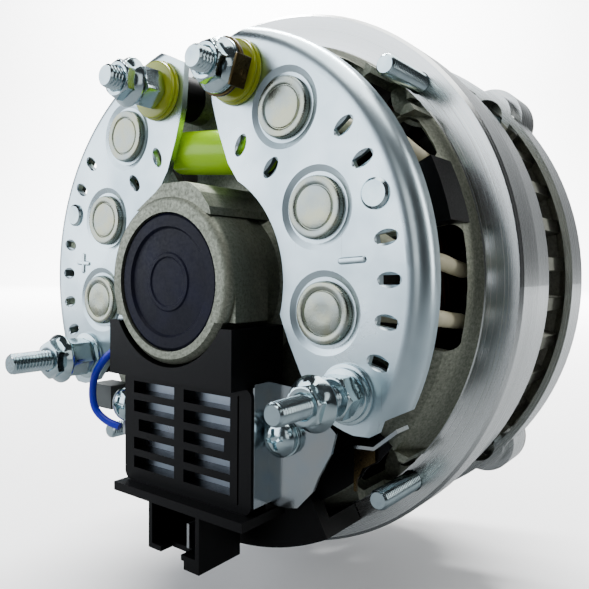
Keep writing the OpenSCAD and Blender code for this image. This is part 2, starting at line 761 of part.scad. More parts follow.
module terminal_studs() {
    color([0.78, 0.82, 0.85]) for (t = terminals) at_place(t) stud(t);
}

module terminal_washers() {
    flat = 1.2;
    color([0.76, 0.79, 0.80]) {
        at_place(terminals[0]) washer(6.6, core_of(term_d) + seat_clear, plate_y0 - 7.38, plate_y0 - 6.22);
        at_place(terminals[2]) {
            washer(6.8, core_of(small_term_d) + seat_clear, plate_y0 - 1, plate_y0 - 0.02);
            washer(6, core_of(small_term_d) + seat_clear, plate_y0 - 2.2, plate_y0 - 1.02);
        }
        at_place(terminals[3]) washer(7, core_of(term_d) + seat_clear, plate_y0 - flat, plate_y0 - 0.02);
    }
}

// A hexagon nut between two places, with a flange at its front when one is given
module nut(t, flats, y0, y1, flange_r) {
    difference() {
        union() {
            hex_bar(flats, y0, y1);
            if (flange_r > 0)
                turned([[0, y1 - 1.9], [flats / 2, y1 - 1.9], [flange_r - 0.2, y1 - 0.8],
                        [flange_r, y1], [0, y1]], 64);
        }
        bar(core_of(t[1]) + run_clear, y0 - 1, y1 + 1, 32);
    }
}

module terminal_nuts() {
    color([0.76, 0.80, 0.83]) for (t = terminals)
        at_place(t) nut(t, t[2][0], plate_y0 - t[2][2], plate_y0 - t[2][1], 0);
}

module terminal_flange_nuts() {
    color([0.76, 0.80, 0.84]) for (t = terminals)
        at_place(t) nut(t, t[3][0], plate_y0 - t[3][2], plate_y0 - t[3][1], t[3][3]);
}

// Blade tab on its ring, turned a little about the upper right stud
module blade_tab() {
    tab_t = 0.8;
    tab_w = 7.4;
    ring_r = 7.2;
    color([0.25, 0.20, 0.13]) at_place(terminals[0]) difference() {
        union() {
            bar(ring_r, plate_y0 - 6.2, plate_y0 - 5.42);
            at_angle(-20)
                translate([ring_r - tab_t + 0.4, plate_y0 - 9.4, -tab_w / 2]) cube([tab_t, 4, tab_w]);
        }
        bar(core_of(term_d) + seat_clear, plate_y0 - 7, plate_y0 - 5, 32);
        at_angle(-20)
            translate([ring_r - 2, plate_y0 - 8, 0]) rotate([0, 90, 0]) cylinder(r = 0.8, h = 4, $fn = 24);
    }
}

cap_r = 6;
cap_centre = [0.8, -19, 34.9];
cap_half_l = 16;
cap_tilt = 5;

module capacitor() {
    color([0.62, 0.78, 0.05]) translate(cap_centre) rotate([0, 90 + cap_tilt, 0])
        rotate_extrude($fn = 48) polygon([
            [0, -cap_half_l], [cap_r - 1.6, -cap_half_l], [cap_r - 0.5, -cap_half_l + 0.5],
            [cap_r, -cap_half_l + 1.6], [cap_r, cap_half_l - 1.6], [cap_r - 0.5, cap_half_l - 0.5],
            [cap_r - 1.6, cap_half_l], [0, cap_half_l]]);
}

module capacitor_clip() {
    clip_t = 0.8;
    clip_w = 6;
    color([0.70, 0.72, 0.74]) translate(cap_centre) rotate([0, 90 + cap_tilt, 0]) translate([0, 0, 8.6])
        difference() {
            cylinder(r = cap_r + clip_t, h = clip_w, $fn = 48);
            translate([0, 0, -1]) cylinder(r = cap_r, h = clip_w + 2, $fn = 48);
            translate([-cap_r * 2, -cap_r * 2, -1]) cube([4 * cap_r, 2 * cap_r - 2.6, clip_w + 2]);
        }
}

// Bearings

module hub_cap() {
    rim = rear_brg_od / 2 - seat_clear;
    y0 = -hub_out + 0.5;
    color([0.07, 0.08, 0.13]) turned([
        [0, y0 + 0.5], [6, y0 + 0.5], [6.4, y0 + 0.2], [7.2, y0 + 0.2], [7.6, y0 + 0.5],
        [13.4, y0 + 0.7], [14, y0], [rim - 0.8, y0], [rim, y0 + 0.6], [rim, y0 + cap_t],
        [0, y0 + cap_t]]);
}

module bearing_outer(od, pitch_r, ball_r, y0, y1, lip_y) {
    mid = (y0 + y1) / 2;
    race_r = pitch_r + ball_r * 0.82;
    shield_t = 0.4;
    difference() {
        turned([[race_r, y0], [od / 2 - 0.6, y0], [od / 2, y0 + 0.6], [od / 2, y1 - 0.6],
                [od / 2 - 0.6, y1], [race_r, y1]]);
        ball_groove(pitch_r, ball_r, mid);
    }
    // Pressed shields close both sides
    for (y = [y0 + 0.3, y1 - 0.3 - shield_t])
        turned([[pitch_r - ball_r * 0.62, y], [race_r + 0.05, y], [race_r + 0.05, y + shield_t],
                [pitch_r - ball_r * 0.62, y + shield_t]]);
}

module bearing_inner(id, pitch_r, ball_r, y0, y1) {
    race_r = pitch_r - ball_r * 0.82;
    difference() {
        turned([[id / 2, y0], [race_r, y0], [race_r, y1], [id / 2, y1]]);
        ball_groove(pitch_r, ball_r, (y0 + y1) / 2);
    }
}

module ball_groove(pitch_r, ball_r, mid) {
    translate([0, mid, 0]) rotate([-90, 0, 0]) rotate_extrude($fn = fine)
        translate([pitch_r, 0]) circle(r = ball_r + run_clear, $fn = 32);
}

// Balls with the crown cage that spaces them
module ball_set(count, pitch_r, ball_r, mid) {
    cage_t = ball_r * 0.2;
    for (i = [0:count - 1]) polar(pitch_r, i * 360 / count)
        translate([0, mid, 0]) sphere(r = ball_r, $fn = 32);
    difference() {
        turned([[pitch_r - cage_t, mid + ball_r * 0.2], [pitch_r + cage_t, mid + ball_r * 0.2],
                [pitch_r + cage_t, mid + ball_r * 1.25], [pitch_r - cage_t, mid + ball_r * 1.25]]);
        for (i = [0:count - 1]) polar(pitch_r, i * 360 / count)
            translate([0, mid, 0]) sphere(r = ball_r + run_clear, $fn = 32);
    }
}

module rear_bearing_outer() {
    color([0.62, 0.63, 0.65]) bearing_outer(rear_brg_od, rear_pitch_r, rear_ball_r, rear_brg_y0, rear_brg_y1);
}
module rear_bearing_inner() {
    color([0.68, 0.69, 0.71]) bearing_inner(rear_brg_id, rear_pitch_r, rear_ball_r, rear_brg_y0, rear_brg_y1);
}
module rear_bearing_balls() {
    color([0.8, 0.8, 0.82]) ball_set(rear_balls, rear_pitch_r, rear_ball_r, (rear_brg_y0 + rear_brg_y1) / 2);
}
module front_bearing_outer() {
    color([0.62, 0.63, 0.65]) bearing_outer(front_brg_od, front_pitch_r, front_ball_r, front_brg_y0, front_brg_y1);
}
module front_bearing_inner() {
    color([0.68, 0.69, 0.71]) bearing_inner(front_brg_id, front_pitch_r, front_ball_r, front_brg_y0, front_brg_y1);
}
module front_bearing_balls() {
    color([0.8, 0.8, 0.82]) ball_set(front_balls, front_pitch_r, front_ball_r, (front_brg_y0 + front_brg_y1) / 2);
}

retainer_t = 2.2;

module bearing_retainer() {
    seat_r = front_brg_od / 2;
    color([0.66, 0.67, 0.66]) difference() {
        turned([[front_pitch_r + 1, front_brg_y0 - retainer_t], [seat_r + 5.6, front_brg_y0 - retainer_t],
                [seat_r + 5.6, front_brg_y0], [front_pitch_r + 1, front_brg_y0]]);
        for (a = [30, 150, 270]) polar(seat_r + 3, a) bar(1.9, front_brg_y0 - 4, front_brg_y0 + 1, 24);
    }
}

module retainer_screws() {
    color([0.72, 0.74, 0.72]) for (a = [30, 150, 270]) polar(front_brg_od / 2 + 3, a)
        turned([[0, front_brg_y0 - retainer_t - 1.8], [2, front_brg_y0 - retainer_t - 1.8],
                [2.6, front_brg_y0 - retainer_t - 1], [2.6, front_brg_y0 - retainer_t],
                [1.6, front_brg_y0 - retainer_t], [1.6, front_brg_y0 + 6], [0, front_brg_y0 + 6]], 32);
}

module through_bolts() {
    head_y = front_y1 + 2;
    color([0.78, 0.81, 0.82]) for (a = corners) polar(bolt_r, a) {
        turned([[0, -stud_out], [bolt_d / 2 - 0.7, -stud_out], [bolt_d / 2, -stud_out + 0.7],
                [bolt_d / 2, -0.3], [core_of(bolt_d), -0.3], [core_of(bolt_d), head_y], [0, head_y]], 32);
        hex_bar(8, head_y, head_y + 3.5);
        turned([[0, head_y], [5.2, head_y], [5.2, head_y + 0.8], [4, head_y + 1.2], [0, head_y + 1.2]], 48);
    }
}

// Brush holder with its yoke, tower, base and ears, one moulding

module tower_holes() {
    for (y = slip_y)
        translate([-brush_b / 2 - brush_clear, y - brush_w / 2 - brush_clear, -spring_bottom])
            cube([brush_b + 2 * brush_clear, brush_w + 2 * brush_clear, spring_bottom]);
}

module brush_holder() {
    color([0.07, 0.07, 0.08]) difference() {
        union() {
            // Yoke under the hub
            translate([-yoke_half_w, yoke_y0, -reg_top]) cube([2 * yoke_half_w, -18.6 - yoke_y0, reg_top - yoke_top]);
            // Tower that guides the brushes
            translate([-tower_half_w, tower_y0, -tower_bottom])
                cube([2 * tower_half_w, tower_y1 - tower_y0, tower_bottom - slip_r - 2.4]);
            // Base behind the cooling plate
            translate([-reg_half_w, base_y0, -reg_bottom])
                cube([2 * reg_half_w, base_y1 - base_y0, reg_bottom - reg_top + 1]);
            // Ledge and connector shell under the cover
            translate([-reg_half_w + 0.2, cover_y0 - 4, -reg_bottom - ledge_t])
                cube([2 * reg_half_w + 0.6, base_y1 - cover_y0 + 4, ledge_t]);
            translate([-conn_w / 2, conn_y0, -reg_bottom - ledge_t - 12.6])
                cube([conn_w, conn_y1 - conn_y0, 12.7]);
            translate([conn_w / 2 - 5.5, conn_y0, -reg_bottom - ledge_t - 14.8])
                cube([5.5, conn_y1 - conn_y0, 3]);
            // Ears with the screw holes
            both_sides() translate([reg_half_w - 2, ear_y0, ear_place[1] - 5])
                cube([ear_place[0] - reg_half_w + 2, ear_t, 10]);
            both_sides() translate([ear_place[0], 0, ear_place[1]]) bar(5, ear_y0, ear_y1);
        }
        bar(yoke_clear_r, -hub_out - 1, base_y1 + 8, fine);
        bar(slip_r + 2, tower_y0 - 2, tower_y1 + 2, fine);
        tower_holes();
        // Connector cavity, open to the rear
        translate([-conn_w / 2 + 1.4, conn_y0 - 1, -reg_bottom - ledge_t - 11.2])
            cube([conn_w - 2.8, conn_y1 - conn_y0 - 2, 10.8]);
        translate([-4.6, conn_y0 - 1, -reg_bottom - ledge_t - 13]) cube([7.6, 5, 3]);
        both_sides() translate([ear_place[0], 0, ear_place[1]]) bar(ear_screw_r + 0.2, ear_y0 - 1, ear_y1 + 1, 32);
    }
}

module cover_outline() {
    round_r = 2.4;
    h = reg_bottom - reg_top;
    translate([-reg_half_w, -reg_bottom]) union() {
        translate([0, round_r]) square([2 * reg_half_w, h - 2 * round_r]);
        translate([round_r, 0]) square([2 * reg_half_w - 2 * round_r, h]);
        for (x = [round_r, 2 * reg_half_w - round_r], z = [round_r, h - round_r])
            translate([x, z]) circle(r = round_r, $fn = 32);
    }
}

module regulator_cover() {
    win_rows = 5;
    win_pitch = 5.25;
    win_h = 3.3;
    win_top = -reg_top - 2.7;
    left_x = -19.6;
    left_w = 16.3;
    right_x = 0.3;
    right_w = 16.4;
    notch = 2;
    groove_w = 0.5;
    groove_in = 4.4;
    color([0.08, 0.08, 0.09]) difference() {
        slab(cover_y0, cover_y1) difference() {
            cover_outline();
            for (i = [0:win_rows - 1]) {
                z = win_top - i * win_pitch - win_h;
                cut = i == 2 ? notch : 0;
                translate([left_x + cut, z]) square([left_w - cut, win_h]);
                translate([right_x, z]) square([right_w - cut, win_h]);
            }
        }
        // Groove that parts the grille from the side strip
        translate([reg_half_w - groove_in, cover_y0 - 1, -reg_bottom + 2])
            cube([groove_w, 1.5, reg_bottom - reg_top - 4]);
    }
}

module regulator_plate() {
    color([0.80, 0.82, 0.85]) slab(cover_y1, base_y0)
        translate([-reg_half_w + 1.2, -reg_bottom + 1.2]) square([2 * reg_half_w - 2.4, reg_bottom - reg_top - 2.4]);
}

module connector_blade() {
    color([0.82, 0.83, 0.84])
        translate([3.9, conn_y0 + 1.2, -reg_bottom - ledge_t - 9.6]) cube([0.8, conn_y1 - conn_y0 - 4.2, 6.3]);
}

module regulator_screws() {
    head_r = 4.6;
    color([0.80, 0.84, 0.88]) both_sides() translate([ear_place[0], 0, ear_place[1]])
        turned([[0, ear_y0 - 5.2], [2.2, ear_y0 - 4.9], [3.8, ear_y0 - 4], [head_r, ear_y0 - 2.6],
                [head_r, ear_y0 - 1.9], [head_r + 0.2, ear_y0 - 1.9], [head_r + 0.2, ear_y0 - 0.92], [ear_screw_r, ear_y0 - 0.92],
                [ear_screw_r, ear_y1 + 7], [0, ear_y1 + 7]], 48);
}

module side_bracket() {
    t = 0.88;
    side_t = 0.5;
    y1 = ear_y0 - 0.02;
    color([0.78, 0.79, 0.80]) {
        slab(y1 - t, y1) difference() {
            polygon([[reg_half_w + 0.6, -24], [33, -24.6], [43.6, -33.6], [42.4, -38.5], [39, -44.6], [37.4, -48.4],
                     [33, -53.2], [29.4, -54], [reg_half_w + 0.6, -54]]);
            translate(ear_place) circle(r = ear_screw_r, $fn = 32);
        }
        translate([reg_half_w + 0.06, y1 - 6.2, -54]) cube([side_t, 6.2, 30]);
        translate([reg_half_w + 0.06, y1 - t, -54]) cube([1, t, 30]);
    }
}

// Earth lead from the yoke to the left regulator screw
earth_route = [[-23.8, -21.6, -18.6], [-28.4, -24.4, -18.8], [-33.4, -28.8, -21.4], [-38.2, -30.6, -27],
               [-40.6, -30.6, -33], [-39.8, -30.4, -38.6], [-36, -29.4, -42], [-31.4, -27.8, -43.6]];

module earth_lead() {
    color([0.03, 0.08, 0.75]) swept(smooth(earth_route, 3), 1.05, 8, [0, 1, 0]);
}

module earth_lug() {
    color([0.72, 0.74, 0.76]) difference() {
        union() {
            translate([-ear_place[0], 0, ear_place[1]]) bar(4.4, ear_y0 - 0.9, ear_y0 - 0.02);
            translate([-32, ear_y0 - 0.9, ear_place[1] - 9.4]) cube([4, 0.88, 8]);
        }
        translate([-ear_place[0], 0, ear_place[1]]) bar(ear_screw_r, ear_y0 - 3, ear_y0 + 2, 32);
    }
}

module side_tab() {
    color([0.45, 0.47, 0.46]) translate([-56, -20, -42]) cube([10, 7.9, 7.5]);
}

shelf_y = -13.2;

module lower_shroud() {
    rear_y = -16.4;
    wall = 1.8;
    out_r = lip_r + 4.6;
    color([0.06, 0.06, 0.07]) difference() {
        union() {
            slab(rear_y, -part_gap) sector(46.5, out_r, 240, 299);
            // Low shelf that carries the contact leaf
            slab(shelf_y, wall_y - 0.02) sector(46.5, lip_r - 4.4, 298, 323);
        }
        for (a = corners) polar(bolt_r, a) bar(7.6, rear_y - 1, 1, 32);
        both_sides() translate([ear_place[0], 0, ear_place[1]]) bar(5.6, rear_y - 1, 0, 32);
        translate([term_bottom[0], 0, term_bottom[1]]) bar(7, rear_y - 1, 0, 32);
        slab(rear_y + wall, 0) sector(48, out_r - wall, 242, 297);
        translate([0, wall_y - part_gap, 0]) bar(lip_r + 0.3, 0, 30, fine);
    }
}

// Contact leaf that stands on the shelf, cut back where a nut turns on the stud end beside it
module contact_leaf() {
    leaf_t = 0.8;
    color([0.30, 0.27, 0.22]) slab(shelf_y - leaf_t - 0.02, shelf_y - 0.02)
        polygon([[41.2, -50.6], [41.9, -50.6], [41.9, -48.2], [43.6, -44.6], [47, -42.4],
                 [47, -38.4], [41.2, -38.4]]);
}

// Bright folded clip over the top of the leaf
module spring_clip() {
    clip_t = 0.8;
    fold = [[44.4, -38.2], [49.8, -37.8], [55.8, -32.8]];
    color([0.82, 0.83, 0.84]) slab(shelf_y - 6.4, shelf_y - 0.84)
        polygon([fold[0], fold[1], fold[2], fold[2] + [-0.4, clip_t], fold[1] + [-0.2, clip_t],
                 fold[0] + [0, clip_t]]);
}

module phase_block() {
    color([0.06, 0.06, 0.07]) difference() {
        slab(wall_y - 3.4, -4.6) sector(lip_r - 8, lip_r - 0.9, 12.6, 25.6);
        turned([[0, 1], [0, wall_y - 0.02], [lip_r - 7.98, wall_y - 0.02], [lip_r - 3.98, 1.78 - dish_len],
                [lip_r - 1.98, -dish_len / 2], [lip_r - 0.58, -1], [lip_r - 0.58, 1]]);
    }
}

// Brushes and springs

module brush(y) {
    color([0.16, 0.16, 0.17]) difference() {
        translate([-brush_b / 2, y - brush_w / 2, -brush_top - brush_l])
            cube([brush_b, brush_w, brush_l + brush_top]);
        bar(brush_top, y - brush_w, y + brush_w, fine);
    }
}

module brush_spring(y) {
    top = -brush_top - brush_l - 0.05 - spring_wire_r;
    bottom = -spring_bottom + 0.05 + spring_wire_r;
    steps = 12;
    count = spring_turns * steps;
    color([0.72, 0.73, 0.75]) swept([for (i = [0:count])
        [spring_r * cos(i * 360 / steps), y + spring_r * sin(i * 360 / steps),
         bottom + (top - bottom) * i / count]], spring_wire_r, 6);
}

module brush_rear() { brush(slip_y[0]); }
module brush_front() { brush(slip_y[1]); }
module brush_spring_rear() { brush_spring(slip_y[0]); }
module brush_spring_front() { brush_spring(slip_y[1]); }

// Rotor

module shaft() {
    color([0.62, 0.63, 0.64]) turned([
        [0, rear_brg_y0 - 0.5], [rear_brg_id / 2 - 0.5, rear_brg_y0 - 0.5], [rear_brg_id / 2, rear_brg_y0],
        [rear_brg_id / 2, rear_brg_y1], [8, rear_brg_y1], [8, rotor_y0 - 1.4], [shaft_r, rotor_y0 - 1.4],
        [shaft_r, rotor_y1 + 2], [10.6, rotor_y1 + 2], [10.6, front_brg_y0], [front_brg_id / 2, front_brg_y0],
        [front_brg_id / 2, pulley_y1 - 0.5], [thread_r, pulley_y1 - 0.5], [thread_r, shaft_end - 0.8],
        [thread_r - 0.8, shaft_end], [0, shaft_end]]);
}

// One half of the claw-pole rotor, pointing along +Y from its disc
module claw_half() {
    tip = 2 * rotor_half - 1.4;
    root_in_r = rotor_r - 12.4;
    tip_in_r = rotor_r - 5;
    intersection() {
        turned([[shaft_r, 0], [rotor_r - 2.4, 0], [rotor_r, 2.4], [rotor_r, tip - 2],
                [rotor_r - 1.6, tip], [tip_in_r, tip], [root_in_r, pole_t], [core_hub_r, pole_t],
                [core_hub_r, rotor_half - 0.02], [shaft_r, rotor_half - 0.02]]);
        union() {
            bar(core_hub_r + 9, -1, rotor_half, fine);
            for (i = [0:claws - 1]) at_angle(i * 360 / claws)
                rotate([90, 0, 90]) linear_extrude(rotor_r + 4)
                    polygon([[-1, -claw_root / 2], [pole_t, -claw_root / 2], [tip + 1, -claw_tip / 2],
                             [tip + 1, claw_tip / 2], [pole_t, claw_root / 2], [-1, claw_root / 2]]);
        }
    }
}

module claw_pole_rear() {
    color([0.42, 0.40, 0.39]) translate([0, rotor_y0, 0]) claw_half();
}
module claw_pole_front() {
    color([0.42, 0.40, 0.39]) translate([0, rotor_y1, 0]) at_angle(180 / claws)
        mirror([0, 1, 0]) claw_half();
}

module field_coil() {
    y0 = rotor_y0 + pole_t + part_gap;
    y1 = rotor_y1 - pole_t - part_gap;
    r1 = rotor_r - 14.2;
    color([0.55, 0.20, 0.12]) turned([
        [core_hub_r + 0.2, y0], [r1, y0], [r1, y0 + 1.4], [r1 - 1, y0 + 1.4], [r1 - 0.4, rotor_mid],
        [r1 - 1, y1 - 1.4], [r1, y1 - 1.4], [r1, y1], [core_hub_r + 0.2, y1]]);
}

module slip_rings() {
    color([0.72, 0.40, 0.22]) for (y = slip_y)
        turned([[slip_r - 3, y - slip_w / 2], [slip_r - 0.3, y - slip_w / 2], [slip_r, y - slip_w / 2 + 0.3],
                [slip_r, y + slip_w / 2 - 0.3], [slip_r - 0.3, y + slip_w / 2], [slip_r - 3, y + slip_w / 2]]);
}

module slip_ring_core() {
    y0 = slip_y[0] - slip_w / 2 - 1;
    y1 = slip_y[1] + slip_w / 2 + 1;
    flange = slip_r - 0.8;
    color([0.30, 0.14, 0.08]) difference() {
        turned([[8, y0], [flange, y0], [flange, y1], [8, y1]]);
        for (y = slip_y) turned([[slip_r - 3, y - slip_w / 2], [slip_r + 1, y - slip_w / 2],
                                 [slip_r + 1, y + slip_w / 2], [slip_r - 3, y + slip_w / 2]]);
    }
}

// Fan, pulley and nut

module fan() {
    hub_r0 = front_brg_id / 2;
    blade_l = 24;
    blade_h = 12;
    blade_lean = 32;
    color([0.35, 0.36, 0.37]) {
        difference() {
            slab(fan_y, fan_y + fan_t) difference() {
                circle(r = fan_d / 2 - blade_l + 3, $fn = fine);
                circle(r = hub_r0, $fn = 64);
            }
        }
        for (i = [0:fan_blades - 1]) at_angle(i * 360 / fan_blades) {
            slab(fan_y, fan_y + fan_t) intersection() {
                circle(r = fan_d / 2, $fn = fine);
                polygon([[fan_d / 2 - blade_l, -7], [fan_d / 2 + 1, -6], [fan_d / 2 + 1, 2], [fan_d / 2 - blade_l, 7]]);
            }
            translate([fan_d / 2 - blade_l + 1, fan_y - blade_h, 0]) rotate([0, -blade_lean, 0])
                translate([0, 0, -fan_t / 2]) cube([blade_l - 5, blade_h + fan_t, fan_t]);
        }
    }
}

module fan_spacer() {
    color([0.60, 0.61, 0.62]) difference() {
        bar(13, front_brg_y1 + 0.02, fan_y, 64);
        bar(front_brg_id / 2, front_brg_y1 - 1, fan_y + 1, 64);
    }
}

module pulley() {
    groove_depth = 12;
    mid = (pulley_y0 + pulley_y1) / 2;
    half_top = 6.6;
    half_bottom = half_top - groove_depth * tan(groove_angle / 2);
    r = pulley_d / 2;
    hub = 15;
    color([0.30, 0.31, 0.32]) turned([
        [front_brg_id / 2, pulley_y0], [hub, pulley_y0], [r - groove_depth - 4, pulley_y0 + 3],
        [r - 2, mid - half_top - 2.4], [r, mid - half_top - 1.4], [r, mid - half_top],
        [r - groove_depth, mid - half_bottom], [r - groove_depth, mid + half_bottom], [r, mid + half_top],
        [r, mid + half_top + 1.4], [r - 2, mid + half_top + 2.4], [r - groove_depth - 4, pulley_y1 - 4],
        [hub, pulley_y1], [front_brg_id / 2, pulley_y1]]);
}

module pulley_washer() {
    color([0.60, 0.61, 0.62]) difference() {
        bar(12, pulley_y1 + 0.02, pulley_y1 + pulley_washer_t, 64);
        bar(thread_r, pulley_y1 - 1, pulley_y1 + pulley_washer_t + 1, 64);
    }
}

module pulley_nut() {
    y0 = pulley_y1 + pulley_washer_t + 0.02;
    color([0.66, 0.67, 0.66]) difference() {
        hex_bar(24, y0, y0 + nut_len);
        bar(thread_r, y0 - 1, y0 + nut_len + 1, 64);
    }
}

rear_bracket();
front_bracket();
front_spokes();
front_hub();
mounting_lugs();
stator_core();
stator_winding();
lead_sleeves();
heat_sink_right();
heat_sink_left();
diodes_right();
diodes_left();
plate_rivets();
insulating_bushes();
insulating_washers();
terminal_studs();
terminal_washers();
terminal_nuts();
terminal_flange_nuts();
blade_tab();
capacitor();
capacitor_clip();
hub_cap();
rear_bearing_outer();
front_bearing_outer();
bearing_retainer();
retainer_screws();
through_bolts();
brush_holder();
regulator_cover();
regulator_plate();
connector_blade();
regulator_screws();
side_bracket();
earth_lead();
earth_lug();
side_tab();
lower_shroud();
spring_clip();
contact_leaf();
phase_block();
brush_rear();
brush_front();
brush_spring_rear();
brush_spring_front();
shaft();
claw_pole_rear();
claw_pole_front();
field_coil();
slip_rings();
slip_ring_core();
rear_bearing_inner();
front_bearing_inner();
rear_bearing_balls();
front_bearing_balls();
fan();
fan_spacer();
pulley();
pulley_washer();
pulley_nut();
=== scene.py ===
import json
import math

import bmesh
import bpy
import numpy as np
from mathutils import Matrix, Vector


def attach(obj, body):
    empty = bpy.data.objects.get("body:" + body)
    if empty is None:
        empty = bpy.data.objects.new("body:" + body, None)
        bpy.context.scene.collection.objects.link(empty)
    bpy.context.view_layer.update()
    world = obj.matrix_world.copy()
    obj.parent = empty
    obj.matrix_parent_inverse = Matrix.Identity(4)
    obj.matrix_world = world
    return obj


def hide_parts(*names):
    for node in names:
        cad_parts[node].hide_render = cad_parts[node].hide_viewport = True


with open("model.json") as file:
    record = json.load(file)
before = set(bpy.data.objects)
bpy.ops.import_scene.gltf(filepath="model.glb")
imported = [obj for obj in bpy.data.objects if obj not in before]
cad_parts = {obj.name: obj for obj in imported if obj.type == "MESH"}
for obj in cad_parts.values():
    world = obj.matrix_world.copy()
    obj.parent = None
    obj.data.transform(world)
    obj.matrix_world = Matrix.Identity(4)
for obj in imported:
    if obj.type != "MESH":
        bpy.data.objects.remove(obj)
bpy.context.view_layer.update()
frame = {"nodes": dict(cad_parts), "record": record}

nodes = frame["nodes"]
mm = 0.001
print("frame loaded:", len(nodes), "parts")


# Shapes: every new piece is a grid of points worked out with numpy

def ringAngles(count):
    # angles spaced evenly round a full turn
    return np.linspace(0, 2 * np.pi, count, endpoint=False)


def gridQuads(rows, cols, closed):
    # quads between neighbouring rows; columns always wrap, rows wrap on a closed ring
    r, c = np.meshgrid(np.arange(rows if closed else rows - 1), np.arange(cols), indexing="ij")
    nextRow = (r + 1) % rows
    nextCol = (c + 1) % cols
    quads = [r * cols + c, r * cols + nextCol, nextRow * cols + nextCol, nextRow * cols + c]
    return np.stack(quads, axis=-1).reshape(-1, 4)


def closedShell(grid):
    # a tube of rows x cols points, its two ends closed with a fan to the middle of the end row
    rows, cols = grid.shape[:2]
    points = np.concatenate([grid.reshape(-1, 3), grid[:1].mean(axis=1), grid[-1:].mean(axis=1)])
    c = np.arange(cols)
    nextCol = (c + 1) % cols
    first = np.stack([c * 0 + rows * cols, nextCol, c], axis=-1)
    last = np.stack([c * 0 + rows * cols + 1, (rows - 1) * cols + c, (rows - 1) * cols + nextCol], axis=-1)
    return points, [gridQuads(rows, cols, False), first, last]


def ringShell(grid):
    # a ring whose rows and columns both wrap, such as a nut round its bore
    rows, cols = grid.shape[:2]
    return grid.reshape(-1, 3), [gridQuads(rows, cols, True)]


def makePiece(name, shells, material, body, smoothAngle=35):
    # joins the shells into one mesh, in metres, with its faces turned outwards
    points, faces, start = [], [], 0
    for shellPoints, shellFaces in shells:
        points.append(shellPoints)
        for block in shellFaces:
            faces.extend((block + start).tolist())
        start += len(shellPoints)
    mesh = bpy.data.meshes.new(name)
    mesh.from_pydata((np.concatenate(points) * mm).tolist(), [], faces)
    work = bmesh.new()
    work.from_mesh(mesh)
    bmesh.ops.recalc_face_normals(work, faces=work.faces)
    work.to_mesh(mesh)
    work.free()
    mesh.materials.append(material)
    mesh.shade_smooth()
    mesh.set_sharp_from_angle(angle=math.radians(smoothAngle))
    piece = bpy.data.objects.new(name, mesh)
    bpy.context.scene.collection.objects.link(piece)
    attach(piece, body)
    print("  made", name, len(mesh.polygons), "faces")
    return piece


def placeAlongShaft(radius, along, angles, x, z):
    # radius and place along the shaft (rows) with angles (columns), round an axis at x, z
    radius = np.broadcast_to(radius, (len(along), len(angles)))
    grid = np.empty((len(along), len(angles), 3))
    grid[..., 0] = x + radius * np.cos(angles)
    grid[..., 1] = np.asarray(along)[:, None]
    grid[..., 2] = z + radius * np.sin(angles)
    return grid


def triangleWave(t):
    # 1 at whole numbers and 0 half way between them, with straight flanks
    return np.abs(2 * (t - np.floor(t)) - 1)


thread = {"depth": 0.58, "flank": 1.25, "crest": 0.12, "chamfer": 0.55, "tip": 0.25}


def threadedBar(outer, pitch, startY, threadEndY, endY, x, z):
    # the radius falls and rises once a pitch along a helix, and is plain past the thread's end
    ang = ringAngles(36)
    step = pitch / 8
    y = np.concatenate([[startY, startY], np.arange(startY + step, threadEndY, step),
                        [threadEndY + 0.3, endY, endY]])
    turn = (y[:, None] - startY) / pitch - ang[None, :] / (2 * np.pi)
    depth = pitch * thread["depth"]
    wave = np.clip(thread["flank"] * triangleWave(turn) - thread["crest"], 0, 1)
    fade = np.clip((threadEndY - y) / (pitch * 1.2), 0, 1)[:, None]
    radius = outer - depth * wave * fade
    radius = np.minimum(radius, outer - thread["chamfer"] + y[:, None] - startY)
    radius[0] = outer - thread["chamfer"] - thread["tip"]
    radius[-1] = 0.2
    return closedShell(placeAlongShaft(radius, y, ang, x, z))


def hexRadius(flats, ang):
    # half the width across flats, divided by the cosine of the angle from the nearest flat
    sector = np.mod(ang + np.pi / 6, np.pi / 3) - np.pi / 6
    return flats / 2 / np.cos(sector)


def hexRows(rows, corner, ang, x, z):
    # each row is a circle, or the hexagon cut off at a radius: limit, place along the shaft, is it hexagonal
    radius = [np.minimum(corner, limit) if isHex else np.full_like(corner, limit) for limit, _, isHex in rows]
    return placeAlongShaft(np.array(radius), [row[1] for row in rows], ang, x, z)


uncut = 99  # a limit past every corner, so the hexagon stays whole there


def hexNut(flats, bore, y0, y1, x, z, turn=0.0, flange=None):
    # a hexagon cut by a cone at each end; a flange is a plain ring below it
    ang = ringAngles(120)
    corner = hexRadius(flats, ang + turn)
    height = y1 - y0
    rows = [(bore, y0 + 0.5, False), (bore + 0.45, y0, False), (flats / 2 * 0.93, y0, False)]
    for depth in (0.12, 0.28, 0.46, 0.66):
        rows.append((flats / 2 * 0.96 + depth * 1.5, y0 + depth, True))
    if flange:
        rows += [(uncut, y1 - flange[1] - 0.25, True), (flange[0] - 1.3, y1 - flange[1], False),
                 (flange[0] - 0.2, y1 - 0.75, False), (flange[0], y1 - 0.45, False),
                 (flange[0] - 0.1, y1, False)]
    else:
        for depth in (0.66, 0.46, 0.28, 0.12):
            rows.append((flats / 2 * 0.96 + depth * 1.5, y1 - depth, True))
        rows.append((flats / 2 * 0.93, y1, False))
    rows += [(bore + 0.45, y1, False), (bore, y1 - 0.5, False)]
    return ringShell(hexRows(rows, corner, ang, x, z))


def turnedRing(profile, x, z, sides=72):
    # a closed loop of radius and place, turned round an axis parallel to the shaft
    loop = np.array(profile, float)
    return ringShell(placeAlongShaft(loop[:, :1], loop[:, 1], ringAngles(sides), x, z))


